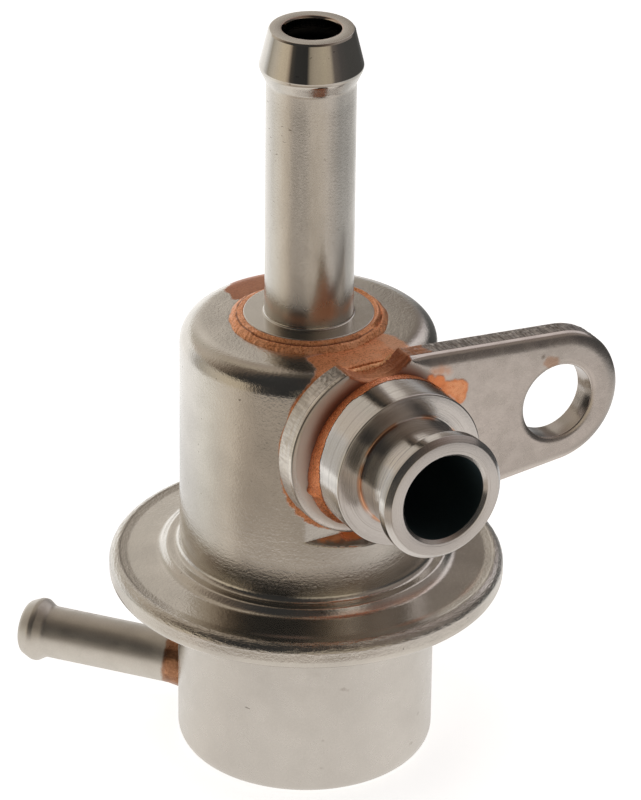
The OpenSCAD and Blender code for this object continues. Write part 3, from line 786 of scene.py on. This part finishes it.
port = rounded([
    (4.0, 8.9, 0.1), (5.5, 8.9, 0.2), (5.5, 12.35), (6.15, 12.35), (7.27, 14.3, 0.3), (7.27, 17.9, 0.14), (5.05, 17.9, 0.16),
    (5.05, 22.3, 0.12), (5.6, 22.3, 0.1), (5.87, 22.56, 0.09), (5.87, 23.5, 0.1), (5.42, 24.0, 0.1),
    (4.3, 24.0, 0.07), (4.0, 23.68, 0.1),
], steps=7)
dress(lathe("inlet_fitting", dense(port, 0.8), 288, port_place), PORT, "turned_steel", "inlet_port")

# ---------------------------------------------------------------- vacuum nipple
nip = rounded([
    (1.5, 10.6), (2.45, 10.6, 0.1), (2.45, 25.75, 0.9), (2.98, 26.6, 0.45), (2.98, 27.05, 0.5), (2.42, 28.3, 0.75),
    (1.62, 28.3, 0.2), (1.5, 28.05, 0.1),
], steps=9)
dress(lathe("vacuum_tube", dense(nip, 0.9), 192, nipple_place), NIPPLE, "turned_steel", "vacuum_nipple")

# ---------------------------------------------------------------- mounting bracket
C1, R1 = Vector((-0.4, -0.35)), 8.28
C2, R2 = Vector((18.85, -0.2)), 6.48
NOTCH, RN = Vector((0.15, 10.65)), 4.3


def link_outline():
    """Outline of the plate: two round ends with common tangents, less the scoop at its top left."""
    d = C2 - C1
    lean = math.acos((R1 - R2) / d.length)
    base = math.atan2(d.y, d.x)
    up_a, dn_a = base + lean, base - lean
    pts = []
    n = 150
    for k in range(n + 1):  # left round end, from its top tangent anticlockwise to the lower one
        a = up_a + (2 * math.pi - 2 * lean) * k / n
        pts.append(C1 + R1 * Vector((math.cos(a), math.sin(a))))
    lo = C2 + R2 * Vector((math.cos(dn_a), math.sin(dn_a)))
    for k in range(1, 56):
        pts.append(pts[n].lerp(lo, k / 56))
    n2 = 90
    for k in range(n2 + 1):
        a = dn_a + 2 * lean * k / n2
        pts.append(C2 + R2 * Vector((math.cos(a), math.sin(a))))
    end, start = pts[-1], pts[0]
    for k in range(1, 56):
        pts.append(end.lerp(start, k / 56))
    inside = [(p - NOTCH).length < RN for p in pts]
    first = next(i for i in range(len(pts)) if not inside[i] and inside[i - 1])
    pts = pts[first:] + pts[:first]
    keep = [p for p in pts if (p - NOTCH).length >= RN + 0.12]
    a0 = math.atan2(keep[-1].y - NOTCH.y, keep[-1].x - NOTCH.x)
    a1 = math.atan2(keep[0].y - NOTCH.y, keep[0].x - NOTCH.x)
    if a1 > a0:
        a1 -= 2 * math.pi
    scoop = []
    for k in range(1, 40):
        a = a0 + (a1 - a0) * k / 40
        scoop.append(NOTCH + RN * Vector((math.cos(a), math.sin(a))))
    return keep + scoop


def resample(pts, gap):
    """Evenly spaced points along a closed polyline."""
    p = np.array([(q.x, q.y) for q in pts])
    q = np.vstack([p, p[:1]])
    s = np.concatenate([[0], np.cumsum(np.linalg.norm(np.diff(q, axis=0), axis=1))])
    n = int(s[-1] / gap)
    u = np.linspace(0, s[-1], n, endpoint=False)
    return np.stack([np.interp(u, s, q[:, 0]), np.interp(u, s, q[:, 1])], -1)


def bracket_mesh():
    line = resample(link_outline(), 0.2)
    tan = np.roll(line, -2, 0) - np.roll(line, 2, 0)
    tan /= np.linalg.norm(tan, axis=1, keepdims=True)
    inward = np.stack([-tan[:, 1], tan[:, 0]], -1)
    n = len(line)
    along = np.arange(n) / n * 2 * math.pi
    tear = waves(5, 22, (30, 260), (2.0, 9.0))
    # the front edge is rolled in by the punch: wide along the outline, narrow at the scoop and its two horns
    turn = np.abs(np.cross(np.roll(inward, 3, 0), np.roll(inward, -3, 0)))
    scoop = np.linalg.norm(line - np.array(NOTCH), axis=1) < RN + 0.06
    horns = line[(scoop != np.roll(scoop, 1))]
    to_horn = np.min(np.linalg.norm(line[:, None, :] - horns[None, :, :], axis=2), axis=1)
    wide = np.minimum(1.25, 0.08 + 0.55 * to_horn)
    # on the round left end the roll is as wide but shallower, and its edge stays sharp
    arm = sstep(-4.5, 2.0, line[:, 0])
    wide = np.where(scoop, np.minimum(wide, 0.22), wide)
    ROLLD = 0.42
    rows = [(0.35, 0.0, -9.95), (0.10, 0.0, -9.95), (0.02, 0.0, -9.99)]
    for y in np.arange(-10.1, -11.86, -0.16):
        rows.append((0.0, 0.0, float(y)))
    rows = [row for row in rows if row[2] > -11.6]
    rows.append((0.0, 0.0, -11.68))
    for q in (0.02, 0.08, 0.14, 0.20, 0.24):
        rows.append((q * 0.42, 0.0, -11.70 - q))
    for k in range(3, 17):
        a = math.pi / 2 * k / 16
        rows.append((0.101, 1 - math.cos(a), -12.35 + ROLLD * (1 - math.sin(a))))
    bm = bmesh.new()
    rings = []
    for flat_in, roll_in, y in rows:
        rough = tear(along, y) * (0.028 if -11.66 < y < -10.0 else 0.0)
        rough = rough * (0.45 + 0.55 * (y > -11.1))
        bevel = flat_in * (0.15 + 0.85 * arm) if y < -11.6 else flat_in
        p = line + inward * (bevel + roll_in * wide + rough)[:, None]
        deep = -12.35 + (y + 12.35) * (0.55 + 0.45 * arm) if roll_in > 0 else np.full(n, y)
        rings.append([bm.verts.new(Vector((q[0], d, q[1] + 36.0)) * MM) for q, d in zip(p, deep)])
    for a, b in zip(rings, rings[1:]):
        for j in range(n):
            k = (j + 1) % n
            bm.faces.new((a[j], b[j], b[k], a[k]))

    def hole(cx, cz, r, roll_w, roll_d, seg):
        prof = [(r + 0.25, -9.95), (r + 0.02, -9.95), (r, -9.97), (r, -11.0)]
        for k in range(0, 11):
            a = math.pi / 2 * k / 10
            prof.append((r + roll_w * (1 - math.cos(a)), -12.35 + roll_d * (1 - math.sin(a))))
        out = []
        for rr, y in prof:
            out.append([bm.verts.new(Vector((cx + rr * math.cos(2 * math.pi * j / seg), y,
                                             36.0 + cz + rr * math.sin(2 * math.pi * j / seg))) * MM) for j in range(seg)])
        for a, b in zip(out, out[1:]):
            for j in range(seg):
                k = (j + 1) % seg
                bm.faces.new((a[j], b[j], b[k], a[k]))
        return out

    bolt = hole(18.85, -0.45, 3.6, 0.6, 0.2, 160)
    bore = hole(0.0, 0.0, 5.55, 0.05, 0.05, 96)
    for pick in (0, -1):
        loops = [rings[pick], bolt[pick], bore[pick]]
        flat = [v for loop in loops for v in loop]
        tris = tessellate_polygon([[Vector((v.co.x * 1000, v.co.z * 1000, 0)) for v in loop] for loop in loops])
        for t in tris:
            if len(set(t)) == 3:
                try:
                    bm.faces.new([flat[i] for i in t])
                except ValueError:
                    pass
    return finish_mesh("bracket_plate", bm, 38.0)


dress(bracket_mesh(), PLATE, "plate_steel", "mounting_bracket")


# ---------------------------------------------------------------- brazing metal
def bead_warp(seed, edge, lift):
    """Uneven flow: the outer edge wanders and the top swells and thins round the ring."""
    slow = waves(seed, 14, (3, 22), (0.2, 1.0))
    fine = waves(seed + 1, 22, (30, 110), (1.0, 6.0))

    def warp(r, h, t):
        lo, hi = r.min(), r.max()
        w = (r - lo) / (hi - lo)
        r2 = r + w * (slow(t, 0.0) * edge + fine(t, r) * edge * 0.3)
        top = (h - h.min()) / (h.max() - h.min())
        h2 = h + top * (slow(t, 3.0) * lift + fine(t, r * 2.0) * lift * 0.55)
        return r2, h2

    return warp


ring_grain = waves(23, 30, (60, 200), (1.0, 3.0))


def outlet_warp(r, h, t):
    r, h = bead_warp(21, 0.07, 0.020)(r, h, t)
    h = h + sstep(43.2, 43.45, h) * ring_grain(t, r * 9.0) * 0.012
    # the ring thins out behind the pipe on the right
    back = np.degrees(np.arctan2(np.sin(t - math.radians(75)), np.cos(t - math.radians(75))))
    r = np.where(r > 6.0, 6.0 + (r - 6.0) * (1.0 - 0.6 * sstep(50, 25, np.abs(back))), r)
    # thin raised lip of the ring that was laid round the collar, on two stretches
    d = np.degrees(np.arctan2(np.sin(t - math.radians(238)), np.cos(t - math.radians(238))))
    lip = sstep(50, 44, np.abs(d))
    d2 = np.degrees(np.arctan2(np.sin(t - math.radians(350)), np.cos(t - math.radians(350))))
    lip = np.maximum(lip, sstep(48, 40, np.abs(d2)))
    top = sstep(43.3, 43.5, h)
    h = h + top * lip * (0.24 * np.exp(-((r - 6.25) / 0.13) ** 2) - 0.14 * np.exp(-((r - 6.5) / 0.09) ** 2))
    return r, h


ring = rounded([(5.86, 42.9), (5.86, 43.70, 0.05), (6.0, 43.72, 0.1), (6.3, 43.66, 0.2), (6.75, 43.50, 0.3), (7.1, 43.12, 0.2), (7.2, 42.9)], steps=6)
outlet = lathe("outlet_bead", dense(ring, 0.06), 640, warp=outlet_warp)
dress(outlet, RING_COPPER, "braze_copper", "outlet_braze")


port_slow = waves(33, 14, (3, 24), (0.2, 1.0))
port_fine = waves(34, 30, (50, 190), (2.0, 9.0))


# Round the port, in degrees from +X towards +Z: where the bead stands on the plate, how far out it ends, how much it swells.
BEAD_FOOT = [
    (0, 7.0), (47, 7.1), (62, 6.88), (80, 6.6), (99, 6.5), (110, 6.42), (124, 6.34), (136, 6.34), (152, 6.42), (165, 6.55),
    (176, 6.82), (189, 7.14), (198, 7.34), (207, 7.46), (224, 7.72), (238, 7.9), (262, 7.5), (300, 7.0), (360, 7.0),
]
BEAD_END = [(0, 14.45), (60, 14.5), (100, 14.44), (125, 14.36), (150, 14.55), (180, 14.75), (195, 14.65), (207, 14.3), (224, 13.85), (240, 13.6), (270, 13.9), (300, 14.45), (360, 14.45)]
BEAD_SWELL = [(0, 0.05), (100, 0.06), (124, 0.09), (150, 0.15), (180, 0.20), (205, 0.20), (224, 0.14), (240, 0.1), (262, 0.08), (360, 0.05)]


def port_bead_mesh():
    t = np.linspace(0, 2 * math.pi, 600, endpoint=False)
    ang = np.degrees(t)

    def at(table):
        return np.interp(ang, *zip(*table))

    foot = at(BEAD_FOOT) + port_slow(t, 0.0) * 0.03 + port_fine(t, 2.0) * 0.022
    foot = foot + 0.30 * np.exp(-((ang - 201.5) / 2.4) ** 2)
    tip = at(BEAD_END) + port_slow(t, 3.0) * 0.05 + port_fine(t, 4.0) * 0.03
    swell = at(BEAD_SWELL)
    rings = []
    n = 30
    for k in range(n + 1):
        u = k / n
        far = 12.33 + (tip - 12.33) * u
        r = foot + (7.30 - foot) * u + swell * math.sin(math.pi * u) ** 0.8
        r = r + math.sin(math.pi * u) * port_fine(t, u * 24.0) * 0.02
        cone = np.minimum(6.15 + (far - 12.35) * 0.5744, 7.27) + 0.02
        r = np.maximum(r, cone)
        rings.append([(ri * math.cos(ti), -fi, 36.0 + ri * math.sin(ti)) for ri, fi, ti in zip(r, far, t)])
    for ri, fi in ((7.05, 14.1), (6.0, 12.33)):
        rings.append([(ri * math.cos(ti), -fi, 36.0 + ri * math.sin(ti)) for ti in t])
    return finish_mesh("port_bead", skin(rings), 40.0)


dress(port_bead_mesh(), BEAD_COPPER, "braze_copper", "port_braze")


def nipple_bead_warp(r, h, t):
    r, h = bead_warp(45, 0.015, 0.10)(r, h, t)
    return r, h


collar = rounded([(2.40, 11.2), (2.66, 11.2), (2.6, 12.0, 0.3), (2.52, 12.6, 0.3), (2.46, 13.1), (2.40, 13.1)], steps=6)
dress(lathe("nipple_fillet", dense(collar, 0.1), 160, nipple_place, warp=nipple_bead_warp), FOOT_FILM, "braze_copper", "nipple_braze")


def wedge_strip(name, a0, a1, sign):
    """Fillet of brazing metal in the gap between the plate's back and the curved shell, round the plate's left end."""
    wob = waves(57, 12, (2, 30), (0.3, 1.0))
    WET_Z, WET_R = zip(*WET_REACH)
    rings = []
    n = 200
    for k in range(n + 1):
        u = k / n
        a = math.radians(a0 + (a1 - a0) * u)
        w = float(wob(np.array(a * 3), np.array(0.0))) * 0.10
        c, s = math.cos(a), math.sin(a)

        def wall(rho):
            x, z = -0.4 + rho * c, 35.65 + rho * s
            x = max(-11.4, min(11.4, x))
            y = -math.sqrt(11.56 ** 2 - x * x)
            return (x, max(y, -9.97), z)

        def back(rho):
            return (-0.4 + rho * c, -9.97, 35.65 + rho * s)

        r_edge = 7.9
        r_wall = max(7.3, float(np.interp(35.65 + 8.3 * s, WET_Z, WET_R)) - 0.1 + 0.4 * w)
        p_edge, p_wall = Vector(back(r_edge)), Vector(wall(r_wall))
        p_in_b, p_in_w = Vector(back(6.4)), Vector(wall(6.4))
        corner = Vector(wall(r_edge))
        bow = []
        for q in (0.2, 0.4, 0.6, 0.8):
            straight = p_edge.lerp(p_wall, q)
            pull = corner.lerp(straight, 0.72)
            bow.append(pull)
        deep = Vector((0, 0.35, 0))
        rings.append([tuple(p) for p in (p_in_b, p_edge, *bow, p_wall, p_wall + deep, p_in_w + deep)])
    bm = skin(rings, closed_v=False, closed_u=True)
    bm.verts.ensure_lookup_table()
    size = len(rings[0])
    bm.faces.new([bm.verts[i] for i in range(size)])
    bm.faces.new([bm.verts[n * size + i] for i in reversed(range(size))])
    return bm


def prism(sections):
    """Closed strip of triangular sections, each a list of points in millimetres."""
    bm = skin(sections, closed_v=False, closed_u=True)
    bm.verts.ensure_lookup_table()
    size, last = len(sections[0]), len(sections) - 1
    bm.faces.new([bm.verts[i] for i in range(size)])
    bm.faces.new([bm.verts[last * size + i] for i in reversed(range(size))])
    return bm


def hollow_section(a, b, corner, n=6, sink=0.6):
    """Points from a to b bowed in towards the corner, then the corner itself."""
    a, b, corner = Vector(a), Vector(b), Vector(corner)
    pts = []
    for k in range(n + 1):
        q = k / n
        p = a.lerp(b, q)
        pts.append(tuple(corner.lerp(p, 1.0 - (1.0 - sink) * 4 * q * (1 - q) * 0.5)))
    return pts + [tuple(corner)]


strip = finish_mesh("bracket_fillet", wedge_strip("bracket_fillet", 128.0, 246.0, 1), 40.0)
dress(strip, COPPER, "braze_copper", "bracket_braze")

# brazing metal drawn under the plate's lower edge, and in the notch above the shell's top edge
under_wave = waves(61, 10, (3, 26), (0.3, 1.0))
sections = []
for k in range(91):
    u = k / 90
    a = math.radians(246.0 + 62.0 * u)
    grow = 0.25 + 0.75 * math.sin(math.pi * min(1.0, max(0.0, u * 0.9 + 0.1)))
    w = float(under_wave(np.array(a * 4), np.array(0.0))) * 0.08
    c, q = math.cos(a), math.sin(a)
    r_low, y_out = 8.28 + 0.62 * grow + w * 0.5, -10.0 - 0.75 * grow - w
    sections.append(hollow_section((-0.4 + r_low * c, -9.93, 35.65 + r_low * q),
                                   (-0.4 + 8.26 * c, y_out, 35.65 + 8.26 * q),
                                   (-0.4 + 8.2 * c, -9.91, 35.65 + 8.2 * q)))
under = finish_mesh("under_fillet", prism(sections), 40.0)
dress(under, COPPER, "braze_copper")

sections = []
for k in range(61):
    x = -2.3 + 5.0 * k / 60
    zn = 46.65 - math.sqrt(4.3 ** 2 - (x - 0.15) ** 2)
    w = float(under_wave(np.array(x * 1.3), np.array(4.0))) * 0.05
    end = min(1.0, (x + 2.3) / 0.5 + 0.1, (2.7 - x) / 0.5 + 0.1)
    sections.append(hollow_section((x, -10.0 - 0.3 * end + w, zn - 0.01), (x, -9.8, max(zn + 0.05, 42.66 + 0.08 * end + 0.5 * w)), (x, -9.8, zn - 0.03), 8, 1.6))
crest = finish_mesh("notch_fillet", prism(sections), 40.0)
dress(crest, CREST_HIGHLIGHT_COPPER, "braze_copper")

# ---------------------------------------------------------------- inside: diaphragm and main spring


def arc(cx, cz, rad, a0, a1, n=8):
    return [(cx + rad * math.cos(math.radians(a0 + (a1 - a0) * k / n)),
             cz + rad * math.sin(math.radians(a0 + (a1 - a0) * k / n))) for k in range(n + 1)]


sheet_top = [(2.05, 18.0)] + arc(8.1, 17.05, 0.95, 90, 0) + arc(9.55, 17.05, 0.5, 180, 360, 14) + arc(11.9, 17.05, 1.85, 180, 90) + [(17.3, 18.9)]
sheet_bot = [(17.3, 18.35)] + arc(11.9, 17.05, 1.3, 90, 180) + arc(9.55, 17.05, 1.05, 360, 180, 14) + arc(8.1, 17.05, 0.4, 0, 90) + [(2.05, 17.45)]
clean = []
for p in sheet_top + sheet_bot:
    if not clean or math.dist(p, clean[-1]) > 1e-4:
        clean.append(p)
membrane = lathe("diaphragm_sheet", dense(clean, 0.9), 192)
dress(membrane, RUBBER, "diaphragm_rubber", "diaphragm", body=None)
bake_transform(membrane)


def coil(name, mean, wire, z0, z1, turns, per_turn=72, sides=14):
    """Compression spring with closed end turns."""
    lo, hi = z0 + wire, z1 - wire
    steps = int(turns * per_turn)
    rings = []

    def height(w):
        dead = 0.9
        live = turns - 2 * dead
        pitch_dead = wire * 2.05
        span = hi - lo - 2 * dead * pitch_dead
        if w < dead:
            return lo + pitch_dead * w
        if w > turns - dead:
            return hi - pitch_dead * (turns - w)
        return lo + pitch_dead * dead + span * (w - dead) / live

    for k in range(steps + 1):
        w = turns * k / steps
        a = 2 * math.pi * w
        c = Vector((mean * math.cos(a), mean * math.sin(a), height(w)))
        out = Vector((math.cos(a), math.sin(a), 0))
        upv = Vector((0, 0, 1))
        rings.append([tuple(c + out * (wire * math.cos(2 * math.pi * j / sides)) + upv * (wire * math.sin(2 * math.pi * j / sides)))
                      for j in range(sides)])
    bm = skin(rings, closed_v=False)
    bm.verts.ensure_lookup_table()
    bm.faces.new([bm.verts[i] for i in range(sides)])
    bm.faces.new([bm.verts[steps * sides + i] for i in reversed(range(sides))])
    return finish_mesh(name, bm, 40.0)


spring = coil("main_coil", 6.7, 0.85, 0.83, 16.72, 5.5)
dress(spring, SPRING, "spring_steel", "main_spring")
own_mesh(spring)

for node, mat in (("valve_holder", BRASS), ("spring_plate", CUP), ("ball_retainer", CUP),
                  ("valve_ball", SPRING), ("ball_spring", SPRING), ("valve_seat", PORT)):
    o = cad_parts[node]
    if not o.material_slots:
        o.data.materials.append(mat)
    for s in o.material_slots:
        s.material = mat

# ---------------------------------------------------------------- floor and studio light
FLOOR_R = 0.9


def floor_mesh():
    bm = bmesh.new()
    bmesh.ops.create_circle(bm, cap_ends=True, segments=128, radius=FLOOR_R)
    me = bpy.data.meshes.new("floor")
    bm.to_mesh(me)
    bm.free()
    o = bpy.data.objects.new("floor", me)
    o.location = (0, 0, -0.00002)
    bpy.context.scene.collection.objects.link(o)
    return o


def studio_angle(g, vec):
    """Bearing round the set as 0..1: 0.5 is the front, above it the right, below it the left."""
    a = g.v("DOT_PRODUCT", vec, tuple(RIGHT))
    b = g.v("DOT_PRODUCT", vec, tuple(FRONT))
    return g.f("ADD", g.f("DIVIDE", g.f("ARCTAN2", a, b), 2 * math.pi), 0.5)


def bearing(deg):
    return deg / 360.0 + 0.5


# Light of the set round the compass, in degrees from its front towards its right:
# on the near floor, on the far floor, just round the horizon, halfway up and overhead.
FLOOR_GLOW = [
    (-180, 1.2), (-160, 1.12), (-140, 1.05), (-117, 1.06), (-98, (0.98, 0.97, 0.93)), (-78, (0.80, 0.75, 0.68)),
    (-66, (0.78, 0.71, 0.62)), (-57, (0.54, 0.47, 0.40)), (-40, (0.48, 0.42, 0.36)), (-20, (0.48, 0.42, 0.36)),
    (0, (0.48, 0.42, 0.36)), (20, (0.50, 0.44, 0.39)), (40, (0.60, 0.55, 0.51)), (60, (0.76, 0.72, 0.69)),
    (75, (0.70, 0.66, 0.63)), (90, (0.60, 0.57, 0.54)), (110, 0.66), (130, 0.75), (145, 0.85), (160, 1.0), (180, 1.2),
]
FAR_FLOOR = [
    (-180, 1.25), (-140, 1.1), (-117, 1.0), (-98, (1.02, 1.0, 0.96)), (-78, (0.90, 0.85, 0.79)), (-62, (0.72, 0.66, 0.59)),
    (-50, (0.68, 0.63, 0.58)), (-28, (0.70, 0.65, 0.60)), (0, (0.73, 0.68, 0.63)), (20, (0.73, 0.68, 0.63)),
    (40, (0.74, 0.70, 0.67)), (60, (0.72, 0.69, 0.66)), (80, 0.55), (100, 0.60), (120, 0.66), (140, 0.80), (160, 1.0), (180, 1.25),
]
LOW_BAND = [
    (-180, 1.25), (-153, 1.2), (-127, 1.05), (-117, 0.70), (-107, (0.42, 0.39, 0.34)), (-103, (0.50, 0.47, 0.41)),
    (-90, (0.62, 0.57, 0.49)), (-72, (0.68, 0.60, 0.47)), (-57, (0.62, 0.54, 0.42)), (-51, (0.40, 0.33, 0.26)),
    (-46, (0.08, 0.07, 0.06)), (-36, 0.04), (-9, 0.035), (-2, (0.34, 0.30, 0.24)), (6, (0.42, 0.37, 0.30)),
    (30, (0.52, 0.46, 0.36)), (44, (0.48, 0.42, 0.34)), (52, (0.16, 0.14, 0.13)),
    (69, (0.09, 0.085, 0.085)), (90, 0.075), (141, 0.075), (158, 0.12), (166, 0.17), (173, 0.50), (180, 1.25),
]
MID_BAND = [
    (-180, (0.50, 0.46, 0.42)), (-178, (0.62, 0.58, 0.53)), (-170, (0.70, 0.66, 0.61)), (-161, (0.77, 0.73, 0.68)), (-152, (0.71, 0.67, 0.62)),
    (-142, (0.56, 0.53, 0.47)), (-125, (0.58, 0.52, 0.46)), (-113, (0.60, 0.54, 0.46)), (-100, (0.40, 0.34, 0.28)),
    (-90, (0.25, 0.20, 0.16)), (-77, (0.10, 0.08, 0.06)), (-62, 0.04), (0, 0.04), (16, (0.14, 0.12, 0.10)),
    (40, (0.22, 0.18, 0.15)), (80, (0.30, 0.27, 0.25)), (110, (0.28, 0.25, 0.24)), (128, (0.32, 0.29, 0.28)),
    (138, (0.72, 0.69, 0.70)), (146, (0.92, 0.89, 0.92)), (154, (0.70, 0.66, 0.68)), (163, (0.26, 0.23, 0.22)),
    (172, (0.23, 0.20, 0.18)), (177, (0.27, 0.24, 0.21)), (180, (0.36, 0.32, 0.29)),
]
HIGH_BAND = [
    (-180, (0.34, 0.30, 0.26)), (-159, (0.41, 0.35, 0.30)), (-122, (0.50, 0.44, 0.36)), (-112, (0.46, 0.40, 0.33)),
    (-103, (0.22, 0.18, 0.14)), (-78, (0.14, 0.11, 0.09)), (-60, 0.05), (-11, 0.04), (30, (0.08, 0.06, 0.05)),
    (60, (0.16, 0.12, 0.10)), (95, (0.21, 0.16, 0.15)), (116, (0.42, 0.37, 0.35)), (132, (0.80, 0.75, 0.75)), (150, (0.92, 0.87, 0.88)),
    (160, (0.48, 0.43, 0.41)), (170, (0.32, 0.28, 0.25)), (180, (0.30, 0.26, 0.23)),
]


def stops(band):
    return [(bearing(deg), c) for deg, c in band]


floor = floor_mesh()
fm = bpy.data.materials.new("floor_finish")
fm.use_nodes = True
fm.cycles.emission_sampling = "NONE"
g = Graph(fm.node_tree)
g.tree.nodes.clear()
out = g.node("ShaderNodeOutputMaterial")
pos = g.node("ShaderNodeTexCoord").outputs["Object"]
turn = studio_angle(g, pos)
far = g.v("LENGTH", pos)
around = g.ramp(turn, stops(FLOOR_GLOW))
near = g.step(far, 0.056, 0.044)
glow = g.mix(g.f("MULTIPLY", near, 0.8), around, (0.90, 0.87, 0.84))
glow = g.tint(glow, g.f("ADD", g.step(far, 0.060, 0.076, 0.82, 1.0), g.f("MULTIPLY", near, 0.18)))
lit = g.node("ShaderNodeEmission")
g.put(lit.inputs[0], glow)
clear = g.node("ShaderNodeBsdfTransparent")
seen = g.node("ShaderNodeMixShader")
g.put(seen.inputs[0], g.step(far, 0.092, 0.108))
g.put(seen.inputs[1], lit.outputs[0])
g.put(seen.inputs[2], clear.outputs[0])
white = g.node("ShaderNodeBsdfDiffuse")
cloud = g.step(g.noise(pos, 14.0, 2.0), 0.3, 0.7, 0.895, 0.905)
g.put(white.inputs[0], g.xyz(cloud, cloud, cloud))
lift = g.node("ShaderNodeEmission")
lift.inputs[0].default_value = (1, 1, 1, 1)
lift.inputs[1].default_value = 0.72
plain = g.node("ShaderNodeAddShader")
g.put(plain.inputs[0], white.outputs[0])
g.put(plain.inputs[1], lift.outputs[0])
path = g.node("ShaderNodeLightPath")
pick = g.node("ShaderNodeMixShader")
g.put(pick.inputs[0], path.outputs["Is Camera Ray"])
g.put(pick.inputs[1], seen.outputs[0])
g.put(pick.inputs[2], plain.outputs[0])
g.put(out.inputs[0], pick.outputs[0])
floor.data.materials.append(fm)

world = bpy.data.worlds.new("studio")
bpy.context.scene.world = world
world.use_nodes = True
g = Graph(world.node_tree)
g.tree.nodes.clear()
out = g.node("ShaderNodeOutputWorld")
way = g.node("ShaderNodeTexCoord").outputs["Generated"]
turn = studio_angle(g, way)
sep = g.node("ShaderNodeSeparateXYZ")
g.put(sep.inputs[0], way)
up = sep.outputs[2]
sky = g.mix(g.step(up, -0.42, -0.34), g.ramp(turn, stops(FAR_FLOOR)), g.ramp(turn, stops(LOW_BAND)))
sky = g.mix(g.step(up, 0.20, 0.30), sky, g.ramp(turn, stops(MID_BAND)))
sky = g.mix(g.step(up, 0.60, 0.78), sky, g.ramp(turn, stops(HIGH_BAND)))
sky = g.mix(g.step(up, 0.95, 0.995), sky, (0.10, 0.085, 0.07))
path = g.node("ShaderNodeLightPath")
shade = g.node("ShaderNodeBackground")
g.put(shade.inputs[0], g.mix(path.outputs["Is Camera Ray"], sky, (1.0, 1.0, 1.0)))
g.put(out.inputs[0], shade.outputs[0])

lamp_data = bpy.data.lights.new("soft_top", "AREA")
lamp_data.shape = "DISK"
lamp_data.size = 0.7
lamp_data.energy = 2.2
lamp = bpy.data.objects.new("soft_top", lamp_data)
lamp.location = (-0.25, -0.1, 0.9)
lamp.rotation_euler = Vector((0.25, 0.1, -0.9)).to_track_quat("-Z", "Y").to_euler()
lamp.visible_camera = False
lamp.visible_glossy = False
bpy.context.scene.collection.objects.link(lamp)
